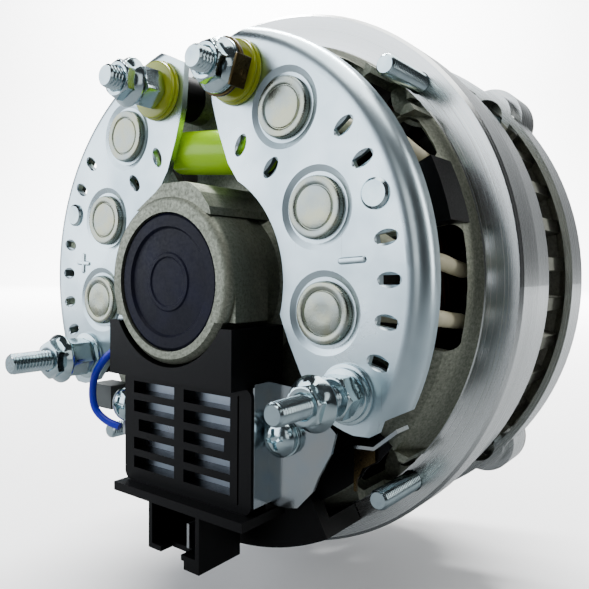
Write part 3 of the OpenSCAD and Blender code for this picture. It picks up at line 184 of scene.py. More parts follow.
def smoothPath(points, count):
    # a smooth curve through the given points, made of cubics and resampled evenly
    p = np.array(points, float)
    p = np.concatenate([2 * p[:1] - p[1:2], p, 2 * p[-1:] - p[-2:-1]])
    t = np.linspace(0, len(points) - 1, count)
    i = np.minimum(t.astype(int), len(points) - 2)
    f = (t - i)[:, None]
    a, b, c, d = p[i], p[i + 1], p[i + 2], p[i + 3]
    second = 2 * a - 5 * b + 4 * c - d
    third = 3 * b - 3 * c + d - a
    return 0.5 * (2 * b + (c - a) * f + second * f ** 2 + third * f ** 3)


def tubeAlong(path, radius, sides, away=(0, 0, 1)):
    # a circle carried along a path, square to it
    path = np.asarray(path, float)
    tangent = np.gradient(path, axis=0)
    tangent /= np.linalg.norm(tangent, axis=1, keepdims=True)
    u = np.cross(tangent, away)
    u /= np.linalg.norm(u, axis=1, keepdims=True)
    v = np.cross(tangent, u)
    ang = ringAngles(sides)[None, :, None]
    radius = np.broadcast_to(np.asarray(radius, float), (len(path),))[:, None, None]
    return closedShell(path[:, None] + radius * (np.cos(ang) * u[:, None] + np.sin(ang) * v[:, None]))


# Materials

def srgb(hexCode):
    # sRGB hex to linear
    c = np.array([int(hexCode[i:i + 2], 16) / 255 for i in (1, 3, 5)])
    lin = np.where(c <= 0.04045, c / 12.92, ((c + 0.055) / 1.055) ** 2.4)
    return (*lin.tolist(), 1.0)


def feed(node, inputs):
    # each input is a number, a vector, a hex colour or an output of another node
    for socket, value in inputs.items():
        if isinstance(value, bpy.types.NodeSocket):
            node.id_data.links.new(value, node.inputs[socket])
        else:
            node.inputs[socket].default_value = srgb(value) if isinstance(value, str) else value


def addNode(tree, kind, settings=None, inputs=None, stops=()):
    # one node with its settings, its inputs and, on a ramp, the place and grey value of each stop
    node = tree.nodes.new(kind)
    for key, value in (settings or {}).items():
        setattr(node, key, value)
    feed(node, inputs or {})
    for i, (place, grey) in enumerate(stops):
        node.color_ramp.elements[i].position = place
        node.color_ramp.elements[i].color = (grey, grey, grey, 1)
    return node.outputs


def startMaterial(name, values):
    # a new material, its node tree and its shader with the given values
    material = bpy.data.materials.new(name)
    material.use_nodes = True
    shader = material.node_tree.nodes["Principled BSDF"]
    feed(shader, values)
    return material, material.node_tree, shader


def castAluminium(name, turnedBand, skinLow, skinHigh, speck):
    # sand-cast aluminium: a dull grey skin with a fine grain, and a band turned on a lathe that shines
    material, tree, shader = startMaterial(name, {"Base Color": "#a4a69f", "Metallic": 1.0})
    place = addNode(tree, "ShaderNodeTexCoord")["Object"]
    along = addNode(tree, "ShaderNodeSeparateXYZ", None, {0: place})["Y"]
    across = addNode(tree, "ShaderNodeVectorMath", {"operation": "MULTIPLY"}, {0: place, 1: (1, 0, 1)})[0]
    radius = addNode(tree, "ShaderNodeVectorMath", {"operation": "LENGTH"}, {0: across})["Value"]
    # the band's lowest radius, and where it starts and ends along the shaft
    lowest, start, end = (v * mm for v in turnedBand)
    inside = addNode(tree, "ShaderNodeMath", {"operation": "COMPARE"},
                     {0: along, 1: (start + end) / 2, 2: (end - start) / 2})[0]
    beyond = addNode(tree, "ShaderNodeMath", {"operation": "GREATER_THAN"}, {0: radius, 1: lowest})[0]
    turned = addNode(tree, "ShaderNodeMath", {"operation": "MULTIPLY"}, {0: inside, 1: beyond})[0]
    # the sand's grain of 0.75 mm, and blotches of 18 mm
    grain = addNode(tree, "ShaderNodeTexNoise", None,
                    {"Vector": place, "Scale": 1 / (0.75 * mm), "Detail": 4.0, "Roughness": 0.7})[0]
    blotch = addNode(tree, "ShaderNodeTexNoise", None,
                     {"Vector": place, "Scale": 1 / (18 * mm), "Detail": 2.0})[0]
    blotches = addNode(tree, "ShaderNodeValToRGB", None, {0: blotch}, [(0.3, 0.2), (0.75, 0.6)])[0]
    specks = addNode(tree, "ShaderNodeValToRGB", None, {0: grain}, [(0.35, 0.0), (0.75, 0.7)])[0]
    mottled = addNode(tree, "ShaderNodeMix", {"data_type": "RGBA"}, {0: blotches, 6: skinHigh, 7: skinLow})[2]
    skin = addNode(tree, "ShaderNodeMix", {"data_type": "RGBA"}, {0: specks, 6: mottled, 7: speck})[2]
    # lathe marks of 0.35 mm, coarser than the real ones so that they show, and bands of 5 mm
    ringPlace = addNode(tree, "ShaderNodeMath", {"operation": "ADD"}, {0: radius, 1: along})[0]
    rings = addNode(tree, "ShaderNodeTexNoise", {"noise_dimensions": "1D"},
                    {"W": ringPlace, "Scale": 1 / (0.35 * mm), "Detail": 2.0})[0]
    wide = addNode(tree, "ShaderNodeTexNoise", {"noise_dimensions": "1D"},
                   {"W": ringPlace, "Scale": 1 / (5.0 * mm), "Detail": 2.0})[0]
    bright = addNode(tree, "ShaderNodeMix", {"data_type": "RGBA"}, {0: wide, 6: "#c9cdcb", 7: "#e2e5e4"})[2]
    colour = addNode(tree, "ShaderNodeMix", {"data_type": "RGBA"}, {0: turned, 6: skin, 7: bright})[2]
    roughCast = addNode(tree, "ShaderNodeValToRGB", None, {0: grain}, [(0.3, 0.45), (0.8, 0.7)])[0]
    roughTurned = addNode(tree, "ShaderNodeValToRGB", None, {0: rings}, [(0.3, 0.2), (0.75, 0.3)])[0]
    rough = addNode(tree, "ShaderNodeMix", {"data_type": "RGBA"},
                    {0: turned, 6: roughCast, 7: roughTurned})[2]
    shallow = addNode(tree, "ShaderNodeMath", {"operation": "MULTIPLY"}, {0: rings, 1: 0.045})[0]
    height = addNode(tree, "ShaderNodeMix", {"data_type": "RGBA"}, {0: turned, 6: grain, 7: shallow})[2]
    bump = addNode(tree, "ShaderNodeBump", None,
                   {"Height": height, "Distance": 0.10 * mm, "Strength": 0.75})[0]
    feed(shader, {"Base Color": colour, "Roughness": rough, "Normal": bump})
    return material


def stampedSheet(name):
    # stamped aluminium sheet: a satin rolled skin with a few fine scratches and faint dents
    material, tree, shader = startMaterial(name, {"Base Color": "#cfdfe6", "Metallic": 1.0})
    place = addNode(tree, "ShaderNodeTexCoord")["Object"]
    cloud = addNode(tree, "ShaderNodeTexNoise", None,
                    {"Vector": place, "Scale": 1 / (16 * mm), "Detail": 3.0})[0]
    fine = addNode(tree, "ShaderNodeTexNoise", None,
                   {"Vector": place, "Scale": 1 / (0.9 * mm), "Detail": 2.0})[0]
    clouds = addNode(tree, "ShaderNodeValToRGB", None, {0: cloud}, [(0.35, 0.0), (0.7, 1.0)])[0]
    colour = addNode(tree, "ShaderNodeMix", {"data_type": "RGBA"}, {0: clouds, 6: "#d3e4ea", 7: "#b8cbd3"})[2]
    # scratches 0.55 mm apart, stretched along one slanting direction
    slant = (0.0, math.radians(24), 0.0)
    stretched = addNode(tree, "ShaderNodeMapping", None,
                        {"Vector": place, "Rotation": slant, "Scale": (1.0, 1.0, 0.03)})[0]
    scratch = addNode(tree, "ShaderNodeTexNoise", None,
                      {"Vector": stretched, "Scale": 1 / (0.55 * mm), "Detail": 1.0})[0]
    line = addNode(tree, "ShaderNodeValToRGB", None, {0: scratch}, [(0.76, 0.0), (0.79, 1.0)])[0]
    faint = addNode(tree, "ShaderNodeMath", {"operation": "MULTIPLY"}, {0: line, 1: 0.35})[0]
    scratched = addNode(tree, "ShaderNodeMix", {"data_type": "RGBA"}, {0: faint, 6: colour, 7: "#8b8f94"})[2]
    rough = addNode(tree, "ShaderNodeValToRGB", None, {0: cloud}, [(0.3, 0.24), (0.75, 0.36)])[0]
    dents = addNode(tree, "ShaderNodeMath", {"operation": "MULTIPLY_ADD"}, {0: fine, 1: 0.25, 2: cloud})[0]
    bump = addNode(tree, "ShaderNodeBump", None,
                   {"Height": dents, "Distance": 0.12 * mm, "Strength": 0.35})[0]
    feed(shader, {"Base Color": scratched, "Roughness": rough, "Normal": bump})
    return material


def platedSteel(name, colour, roughness):
    # zinc or nickel on steel: bright, a little uneven, faintly blue where passivated
    values = {"Base Color": colour, "Metallic": 1.0, "Roughness": roughness}
    material, tree, shader = startMaterial(name, values)
    place = addNode(tree, "ShaderNodeTexCoord")["Object"]
    cloud = addNode(tree, "ShaderNodeTexNoise", None,
                    {"Vector": place, "Scale": 1 / (5 * mm), "Detail": 3.0})[0]
    blue = addNode(tree, "ShaderNodeValToRGB", None, {0: cloud}, [(0.35, 0.0), (0.7, 0.5)])[0]
    shade = addNode(tree, "ShaderNodeMix", {"data_type": "RGBA"}, {0: blue, 6: colour, 7: "#8fa0ad"})[2]
    uneven = [(0.3, roughness * 0.8), (0.7, roughness * 1.35)]
    rough = addNode(tree, "ShaderNodeValToRGB", None, {0: cloud}, uneven)[0]
    grain = addNode(tree, "ShaderNodeTexNoise", None,
                    {"Vector": place, "Scale": 1 / (0.5 * mm), "Detail": 3.0})[0]
    bump = addNode(tree, "ShaderNodeBump", None, {"Height": grain, "Distance": 0.02 * mm, "Strength": 0.6})[0]
    feed(shader, {"Base Color": shade, "Roughness": rough, "Normal": bump})
    return material


def mouldedPlastic(name, colour, roughness, grainMm, depthMm, lighter):
    # glass-filled polyamide from a spark-eroded mould: fine grain, slight sheen
    material, tree, shader = startMaterial(name, {"Base Color": colour, "Roughness": roughness, "IOR": 1.5,
                                                  "Specular IOR Level": 0.16})
    place = addNode(tree, "ShaderNodeTexCoord")["Object"]
    grain = addNode(tree, "ShaderNodeTexNoise", None,
                    {"Vector": place, "Scale": 1 / (grainMm * mm), "Detail": 3.0, "Roughness": 0.6})[0]
    cloud = addNode(tree, "ShaderNodeTexNoise", None,
                    {"Vector": place, "Scale": 1 / (9 * mm), "Detail": 2.0})[0]
    pale = addNode(tree, "ShaderNodeValToRGB", None, {0: cloud}, [(0.4, 0.0), (0.75, 0.6)])[0]
    shade = addNode(tree, "ShaderNodeMix", {"data_type": "RGBA"}, {0: pale, 6: colour, 7: lighter})[2]
    uneven = [(0.3, roughness * 0.85), (0.7, min(1.0, roughness * 1.2))]
    rough = addNode(tree, "ShaderNodeValToRGB", None, {0: grain}, uneven)[0]
    bump = addNode(tree, "ShaderNodeBump", None,
                   {"Height": grain, "Distance": depthMm * mm, "Strength": 0.6})[0]
    feed(shader, {"Base Color": shade, "Roughness": rough, "Normal": bump})
    return material


def smoothPlastic(name, colour, roughness, ior, sheen=0.5):
    # nylon, lacquer or vinyl: a glossy skin with very faint waviness
    material, tree, shader = startMaterial(name, {"Base Color": colour, "Roughness": roughness, "IOR": ior,
                                                  "Specular IOR Level": sheen})
    place = addNode(tree, "ShaderNodeTexCoord")["Object"]
    wave = addNode(tree, "ShaderNodeTexNoise", None,
                   {"Vector": place, "Scale": 1 / (3.5 * mm), "Detail": 2.0})[0]
    bump = addNode(tree, "ShaderNodeBump", None, {"Height": wave, "Distance": 0.05 * mm, "Strength": 0.3})[0]
    feed(shader, {"Normal": bump})
    return material


def dullMetal(name, colour, second, roughness, grainMm, depthMm):
    # plain metal with a mottled skin, such as varnished laminations or phosphated steel
    values = {"Base Color": colour, "Metallic": 1.0, "Roughness": roughness}
    material, tree, shader = startMaterial(name, values)
    place = addNode(tree, "ShaderNodeTexCoord")["Object"]
    grain = addNode(tree, "ShaderNodeTexNoise", None,
                    {"Vector": place, "Scale": 1 / (grainMm * mm), "Detail": 4.0, "Roughness": 0.6})[0]
    cloud = addNode(tree, "ShaderNodeTexNoise", None,
                    {"Vector": place, "Scale": 1 / (7 * mm), "Detail": 3.0})[0]
    share = addNode(tree, "ShaderNodeValToRGB", None, {0: cloud}, [(0.3, 0.0), (0.72, 1.0)])[0]
    shade = addNode(tree, "ShaderNodeMix", {"data_type": "RGBA"}, {0: share, 6: colour, 7: second})[2]
    uneven = [(0.3, roughness * 0.8), (0.75, min(1.0, roughness * 1.25))]
    rough = addNode(tree, "ShaderNodeValToRGB", None, {0: grain}, uneven)[0]
    bump = addNode(tree, "ShaderNodeBump", None,
                   {"Height": grain, "Distance": depthMm * mm, "Strength": 0.7})[0]
    feed(shader, {"Base Color": shade, "Roughness": rough, "Normal": bump})
    return material


finishes = {
    # castings: name, turned band, two colours of the skin and one of its specks
    # the rear casting's skin and speck colours are darker and more olive than the front casting's: painted
    # shade, standing in for the shade the rectifier plates cast on the rear wall
    "rear_casting": castAluminium("castAluminiumTurnedFlangePaintedShade", (67.6, -0.4, 26.0),
                                  "#7c8071", "#a2a698", "#4e5146"),
    "front_casting": castAluminium("castAluminiumTurnedRim", (73.5, 44.0, 61.0),
                                   "#97998c", "#b4b5ac", "#77786b"),
    "heat_sink_sheet": stampedSheet("stampedAluminiumSatin"),
    # plated metals: name, colour, roughness
    "zinc": platedSteel("zincPlatedSteelBlue", "#c3d6da", 0.16),
    "diode_case": platedSteel("nickelPlatedCopper", "#9b9d88", 0.24),
    "sheet_bright": platedSteel("brightPlatedSheet", "#a2a7a8", 0.14),
    "tinned_brass": platedSteel("tinnedBrass", "#c2c3c0", 0.28),
    "heat_plate_bright": platedSteel("brushedAluminiumPlate", "#aab3bf", 0.32),
    "bearing_steel": platedSteel("groundBearingSteel", "#a3a5a8", 0.25),
    "spring_wire": platedSteel("drawnSpringWire", "#9c9ea1", 0.3),
    # grained plastics and paint: name, colour, roughness, grain and its depth in millimetres, lighter colour
    "moulded_black": mouldedPlastic("polyamideBlackMoulded", "#040405", 0.4, 0.4, 0.03, "#08080a"),
    "cover_black": mouldedPlastic("polyamideBlackCover", "#040405", 0.36, 0.4, 0.025, "#08080a"),
    "grey_moulding": mouldedPlastic("polyamideGrey", "#5b5f5e", 0.5, 0.4, 0.03, "#6a6e6c"),
    "cap_navy": mouldedPlastic("polyamideNavyCap", "#04061a", 0.5, 0.8, 0.02, "#070c2e"),
    "brown_moulding": mouldedPlastic("phenolicBrown", "#3a1d12", 0.35, 0.5, 0.02, "#4a2718"),
    "carbon": mouldedPlastic("pressedGraphite", "#232326", 0.5, 0.3, 0.03, "#2e2e31"),
    "sleeving": mouldedPlastic("varnishedGlassSleeving", "#d8d2b4", 0.5, 0.5, 0.06, "#c3bb97"),
    "fan_steel": mouldedPlastic("satinBlackPaint", "#1d1e20", 0.4, 0.5, 0.02, "#242527"),
    # glossy skins: name, colour, roughness, index of refraction, and sheen where it is weaker than usual
    "insulator_olive": smoothPlastic("nylonOliveTranslucent", "#a4ae1c", 0.25, 1.53),
    "capacitor_lime": smoothPlastic("lacqueredCanLime", "#a8e000", 0.22, 1.5, 0.3),
    "blue_sheath": smoothPlastic("vinylSheathBlue", "#0410c8", 0.3, 1.53),
    # dull metals: name, colour, second colour, roughness, grain and its depth in millimetres
    "blade_brown": dullMetal("darkenedBrassStrip", "#3a3120", "#54472c", 0.3, 0.6, 0.02),
    "laminations": dullMetal("varnishedLaminations", "#3a3835", "#262422", 0.5, 0.5, 0.04),
    "winding": dullMetal("enamelledCopperVarnished", "#2a120c", "#160a07", 0.4, 0.8, 0.05),
    "field_winding": dullMetal("tapedCopperCoil", "#8f4128", "#6c2a18", 0.42, 0.8, 0.05),
    "rotor_steel": dullMetal("forgedSteelVarnished", "#5d5955", "#46423f", 0.45, 0.7, 0.04),
    "shaft_steel": dullMetal("groundShaftSteel", "#a5a6a7", "#8f9091", 0.28, 0.5, 0.01),
    "slip_copper": dullMetal("turnedCopper", "#c27a4e", "#a86440", 0.25, 0.5, 0.01),
    "pulley_steel": dullMetal("phosphatedTurnedSteel", "#57585a", "#46474a", 0.4, 0.5, 0.02),
}

slotOf = {entry["node"]: entry["material_slot"] for entry in frame["record"]["subparts"]}
for nodeName, cadPart in nodes.items():
    cadPart.data.materials.clear()
    cadPart.data.materials.append(finishes[slotOf[nodeName]])
print("materials set on", len(nodes), "parts")


# Small hardware drawn finely in place of the plain solids

def washerRing(inner, outer, y0, y1, x, z, edge=0.25):
    # a flat ring with rounded edges
    corner = outer - edge * 0.3
    return turnedRing([(inner, y0), (outer - edge, y0), (corner, y0 + edge * 0.3), (outer, y0 + edge),
                       (outer, y1 - edge), (corner, y1 - edge * 0.3), (outer - edge, y1), (inner, y1)], x, z)


def splitRing(inner, outer, y0, y1, x, z, gapAt):
    # a spring washer: a square section carried round the stud, open at one place
    steps, rising, halfGap = 64, 0.25, 6
    turns = np.linspace(math.radians(gapAt + halfGap), math.radians(gapAt + 360 - halfGap), steps)
    rise = np.linspace(0, rising, steps)
    corners = [(inner, y0), (outer, y0), (outer, y1 - rising), (inner, y1 - rising)]
    grid = np.empty((steps, 4, 3))
    for i, (radius, along) in enumerate(corners):
        grid[:, i] = np.stack([x + radius * np.cos(turns), along + rise, z + radius * np.sin(turns)], axis=-1)
    return closedShell(grid)


# Terminals: inner nuts give width across flats, start, end and turn; flanged nuts also their flange's radius;
# washers and insulators give outer radius, start and end

plateFace = -27.4
terminals = {
    "upperRight": {"place": (14.3, 51.8), "outer": 3.0, "pitch": 1.0, "tip": -42.8,
                   "inner": (10, -32.8, -30.02, 22), "flanged": (9, -39.2, -34.8, 6.5, 22),
                   "washers": [(6.6, -34.78, -33.62)],
                   "insulators": [(8.0, -28.7, -27.42), (7.7, -30.0, -28.72)]},
    "upperLeft": {"place": (-14.3, 51.8), "outer": 3.0, "pitch": 1.0, "tip": -45.4,
                  "inner": (10, -36.4, -30.02, -12), "flanged": (9, -42.0, -37.6, 6.4, 6),
                  "washers": [],
                  "insulators": [(8.0, -28.7, -27.42), (7.7, -30.0, -28.72)]},
    "lowerRight": {"place": (47.3, -23.8), "outer": 2.5, "pitch": 0.8, "tip": -53.7,
                   "inner": (9, -34.0, -29.62, 30), "flanged": (8, -44.3, -40.2, 6.0, 17),
                   "washers": [(6.8, -28.4, -27.42), (6.0, -29.6, -28.42)],
                   "insulators": []},
    "lowerLeft": {"place": (-47.3, -23.8), "outer": 3.0, "pitch": 1.0, "tip": -52.8,
                  "inner": (10, -35.7, -28.62, -21), "flanged": (10, -41.4, -37.0, 7.2, 3),
                  "washers": [(7.0, -28.6, -27.42)],
                  "insulators": []},
}
threadEnd = -12
studFoot = -9
boreGap = 0.05
nutFlange = 1.7
studShells, innerShells, flangedShells, washerShells, insulatorShells = [], [], [], [], []
for spec in terminals.values():
    x, z = spec["place"]
    outer = spec["outer"]
    studShells.append(threadedBar(outer, spec["pitch"], spec["tip"], threadEnd, studFoot, x, z))
    flats, y0, y1, turn = spec["inner"]
    innerShells.append(hexNut(flats, outer, y0, y1, x, z, math.radians(turn)))
    flats, y0, y1, flangeRadius, turn = spec["flanged"]
    flange = (flangeRadius, nutFlange)
    flangedShells.append(hexNut(flats, outer, y0, y1, x, z, math.radians(turn), flange))
    for ringRadius, y0, y1 in spec["washers"]:
        washerShells.append(washerRing(outer + boreGap, ringRadius, y0, y1, x, z))
    for ringRadius, y0, y1 in spec["insulators"]:
        insulatorShells.append(washerRing(outer + boreGap, ringRadius, y0, y1, x, z, 0.5))
threadedTerminals = makePiece("threadedTerminals", studShells, finishes["zinc"], "housing")
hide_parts("terminal_studs")
hexagonNuts = makePiece("hexagonNuts", innerShells, finishes["zinc"], "housing", 20)
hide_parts("terminal_nuts")
flangeNuts = makePiece("flangeNuts", flangedShells, finishes["zinc"], "housing", 20)
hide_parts("terminal_flange_nuts")
terminalWashers = makePiece("terminalWashers", washerShells, finishes["zinc"], "housing")
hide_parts("terminal_washers")
roundedInsulators = makePiece("roundedInsulators", insulatorShells, finishes["insulator_olive"],
                              "housing")
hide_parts("insulating_washers")


# Through bolts: threaded ends behind the flange, plain shanks, hexagon heads with a washer face in front

bolts = {"circle": 70.6, "angles": (45, 135, 225, 315), "outer": 2.5, "pitch": 0.8,
         "tip": -17.7, "threadEnd": 14, "shankEnd": 62.2, "flats": 8, "head": (62.0, 65.5)}


def boltHead(flats, y0, y1, x, z):
    # a washer face, then a hexagon cut by a cone at its top
    ang = ringAngles(96)
    rows = [(0.1, y0, False), (5.1, y0, False), (5.2, y0 + 0.4, False), (5.0, y0 + 0.8, False),
            (uncut, y0 + 0.85, True), (uncut, y1 - 0.7, True), (flats / 2 * 1.1, y1 - 0.35, True),
            (flats / 2 * 0.95, y1, False), (0.1, y1, False)]
    return closedShell(hexRows(rows, hexRadius(flats, ang), ang, x, z))


boltShells = []
for angle in bolts["angles"]:
    x = bolts["circle"] * math.cos(math.radians(angle))
    z = bolts["circle"] * math.sin(math.radians(angle))
    boltShells.append(threadedBar(bolts["outer"], bolts["pitch"], bolts["tip"], bolts["threadEnd"],
                                  bolts["shankEnd"], x, z))
    boltShells.append(boltHead(bolts["flats"], *bolts["head"], x, z))
throughBolts = makePiece("threadedThroughBolts", boltShells, finishes["zinc"], "housing")
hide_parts("through_bolts")


# Diodes: knurled copper cases with a dull nickel skin, a groove and faint turning rings on the face;
# places give radius and angle in degrees

diodes = {"places": [(50.3, 55.2), (42.1, 24.6), (41.3, -8.8)], "proud": 1.2, "teeth": 72, "knurl": 0.16,
          "oversize": 0.06, "widest": 7.28, "centre": 0.05}


def knurledDiode(x, z):
    # a turned outline whose rim falls back by a triangle wave round the case
    face = plateFace - diodes["proud"]
    ang = ringAngles(432)
    # radius, place, depth of the knurl
    knurl = diodes["knurl"]
    rows = [(0.05, face + 0.38, 0), (2.0, face + 0.36, 0), (4.5, face + 0.26, 0), (4.78, face + 0.34, 0),
            (4.92, face + 0.62, 0), (5.06, face + 0.62, 0), (5.2, face + 0.3, 0), (5.5, face + 0.16, 0),
            (6.5, face + 0.1, 0), (6.85, face + 0.2, 0), (7.05, face + 0.42, 0), (7.2, face + 0.62, knurl),
            (7.22, plateFace + 0.5, knurl), (7.2, plateFace + 2.3, knurl), (5.9, plateFace + 2.8, 0),
            (5.5, plateFace + 6.8, 0), (2.4, plateFace + 8.0, 0), (0.7, plateFace + 8.2, 0),
            (0.7, plateFace + 8.8, 0), (0.05, plateFace + 8.8, 0)]
    wave = triangleWave(ang * diodes["teeth"] / (2 * np.pi))
    radius = np.array([row[0] + diodes["oversize"] - row[2] * wave for row in rows])
    radius = np.clip(radius, diodes["centre"], diodes["widest"])
    return closedShell(placeAlongShaft(radius, [row[1] for row in rows], ang, x, z))


for side, sign in (("Right", 1), ("Left", -1)):
    shells = []
    for radius, angle in diodes["places"]:
        a = math.radians(angle)
        shells.append(knurledDiode(sign * radius * math.cos(a), radius * math.sin(a)))
    knurledDiodes = makePiece("knurledDiodes" + side, shells, finishes["diode_case"],
                              "housing", 28)
    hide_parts("diodes_" + side.lower())


# Screws of the regulator: a domed head with a cross recess, a spring washer and a plain washer

# places give x, z and the turn of the cross in radians
screws = {"places": ((29.0, -36.6, 0.22), (-29.0, -36.6, -0.1)), "headRadius": 4.6, "headHeight": 3.2,
          "headUnder": -27.2, "spring": (2.6, 4.3, -27.18, -26.3), "springGapAt": 200,
          "washer": (2.55, 4.8, -26.95, -26.14), "shank": (2.5, 0.8, -27.0, -18.4, -15.6)}
recess = {"halfWidth": 0.52, "slope": 0.12, "reach": 2.55, "runOut": 0.5, "heart": 1.15,
          "depth": 1.9, "rise": 0.3, "floor": 0.4}


def crossHead(radius, height, y0, x, z, turn):
    # a dome whose height is lowered inside a cross; y0 is the underside and the dome points backwards
    rings = np.concatenate([np.linspace(0.02, 0.62, 40), np.linspace(0.66, 1.0, 12)]) * radius
    ang = ringAngles(160)
    r, a = np.meshgrid(rings, ang, indexing="ij")
    dome = height * np.sqrt(np.clip(1 - (r / radius) ** 2.3 * 0.86, 0, 1))
    u = np.abs(r * np.cos(a - turn))
    v = np.abs(r * np.sin(a - turn))
    narrow, long = np.minimum(u, v), np.maximum(u, v)
    wing = np.clip((recess["halfWidth"] - narrow) / recess["slope"], 0, 1)
    wing *= np.clip((recess["reach"] - long) / recess["runOut"], 0, 1)
    heart = np.clip((recess["heart"] - r) / 0.25, 0, 1)
    sunk = np.maximum(wing, heart) * (recess["depth"] - recess["rise"] * r)
    y = y0 - dome + np.clip(sunk, 0, height - recess["floor"])
    top = np.stack([x + r * np.cos(a), y, z + r * np.sin(a)], axis=-1)
    under = placeAlongShaft(np.array([[radius - 0.15], [0.05]]), [y0, y0], ang, x, z)
    return closedShell(np.concatenate([top, under]))


screwShells = []
for x, z, turn in screws["places"]:
    screwShells.append(crossHead(screws["headRadius"], screws["headHeight"], screws["headUnder"], x, z, turn))
    screwShells.append(splitRing(*screws["spring"], x, z, screws["springGapAt"]))
    screwShells.append(washerRing(*screws["washer"], x, z, 0.15))
    screwShells.append(threadedBar(*screws["shank"], x, z))
crossRecessScrews = makePiece("crossRecessScrews", screwShells, finishes["zinc"], "housing", 30)
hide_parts("regulator_screws")


# Sleeves of the winding's leads, as round tubes on the routes of the plain solids;
# each route gives radius, angle in degrees and place along the shaft of its points

sleeves = {
    "routes": [
        [(50.3, 55.2, -18.6), (50.8, 54, -16.4), (52.6, 48, -15.2), (56, 41, -15), (59.6, 35.6, -15.2),
         (61.6, 32.4, -14), (61.9, 30.4, -11), (61.9, 28.6, -5.5), (61.9, 27.6, 1)],
        [(42.1, 24.6, -18.6), (42.6, 23.4, -16.4), (46.4, 16, -15.2), (52, 9.6, -15), (57.6, 6.4, -15.2),
         (61.2, 5.4, -14), (61.9, 5, -11), (61.9, 4.2, -5.5), (61.9, 3.4, 1)],
        [(41.3, -8.8, -18.6), (42, -8.8, -16.2), (47, -8.2, -15), (53, -7.4, -15), (58.4, -6.8, -15),
         (61.4, -6.6, -13.8), (61.9, -6.8, -11), (61.9, -7.4, -5.5), (61.9, -8, 1)],
    ],
    "radius": 1.88, "ripple": 0.02, "rippleStep": 1.7, "points": 90, "sides": 24,
}
ripple = np.sin(np.arange(sleeves["points"]) * sleeves["rippleStep"])
sleeveRadius = sleeves["radius"] + sleeves["ripple"] * ripple
sleeveShells = []
for route in sleeves["routes"]:
    points = [(r * math.cos(math.radians(a)), y, r * math.sin(math.radians(a))) for r, a, y in route]
    for sign in (1, -1):
        path = smoothPath([(sign * px, py, pz) for px, py, pz in points], sleeves["points"])
        sleeveShells.append(tubeAlong(path, sleeveRadius, sleeves["sides"], (0.3, 0.1, 1)))
roundSleeves = makePiece("roundSleeves", sleeveShells, finishes["sleeving"], "housing", 60)
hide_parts("lead_sleeves")


# Blue earth lead, on the route of its plain solid

earth = {"route": [(-23.8, -21.6, -18.6), (-28.4, -24.4, -18.8), (-33.4, -28.8, -21.4), (-38.2, -30.6, -27),
                   (-40.6, -30.6, -33), (-39.8, -30.4, -38.6), (-36, -29.4, -42), (-31.4, -27.8, -43.6)],
         "radius": 1.1, "points": 80, "sides": 20}
earthPath = smoothPath(earth["route"], earth["points"])
earthShells = [tubeAlong(earthPath, earth["radius"], earth["sides"], (0, 1, 0))]
roundEarthLead = makePiece("roundEarthLead", earthShells, finishes["blue_sheath"],
                           "housing", 60)
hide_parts("earth_lead")


# Stator winding: bars in the slots and coil ends woven at both sides of the core

coils = {"slots": 36, "span": 6, "layers": 3, "steps": 26, "shift": 0.33, "wire": 1.2, "sides": 8,
         "innerRadius": 53.8, "layerStep": 1.9, "weave": 1.2, "reach": 10.4, "reachStep": 1.2,
         "rearFrom": 6.0, "frontFrom": 32.0, "barEnds": (5.6, 32.4), "barRadii": (51.8, 61.4),
         "barHalf": 1.7}


def coilEnds(y0, sign):
    # each wire leaves a slot, leans over along the ring as a flattened sine and enters a slot further on
    shells = []
    t = np.linspace(0, 1, coils["steps"])
    rise = np.sin(np.pi * t) ** 0.55
    for layer in range(coils["layers"]):
        for i in range(coils["slots"]):
            a = (i + coils["span"] * t + layer * coils["shift"]) * 2 * np.pi / coils["slots"]
            radius = coils["innerRadius"] + coils["layerStep"] * layer + coils["weave"] * np.cos(np.pi * t)
            y = y0 + sign * (coils["reach"] - coils["reachStep"] * layer) * rise
            path = np.stack([radius * np.cos(a), y, radius * np.sin(a)], axis=-1)
            shells.append(tubeAlong(path, coils["wire"], coils["sides"], (0.0, 1.0, 0.02)))
    return shells


barShells = []
low, high = coils["barRadii"]
half = coils["barHalf"]
for i in range(coils["slots"]):
    a = i * 2 * np.pi / coils["slots"]
    radial = np.array([math.cos(a), 0, math.sin(a)])
    across = np.array([-math.sin(a), 0, math.cos(a)])
    corners = [radial * r + across * s for r, s in ((low, -half), (high, -half), (high, half), (low, half))]
    barShells.append(closedShell(np.array([[c + (0, y, 0) for c in corners] for y in coils["barEnds"]])))
windingShells = coilEnds(coils["rearFrom"], -1) + coilEnds(coils["frontFrom"], 1) + barShells
wovenWinding = makePiece("wovenWinding", windingShells, finishes["winding"], "housing", 60)
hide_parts("stator_winding")


# Blade tab of the upper right stud: its ring, and the blade with a punched dimple

tab = {"turn": -20, "reach": 7.2, "along": -34.1, "blade": (0.8, 5.0, 7.4), "edge": 0.15, "dimple": 0.9,
       "ring": (7.1, -33.6, -32.84), "ringEdge": 0.12}


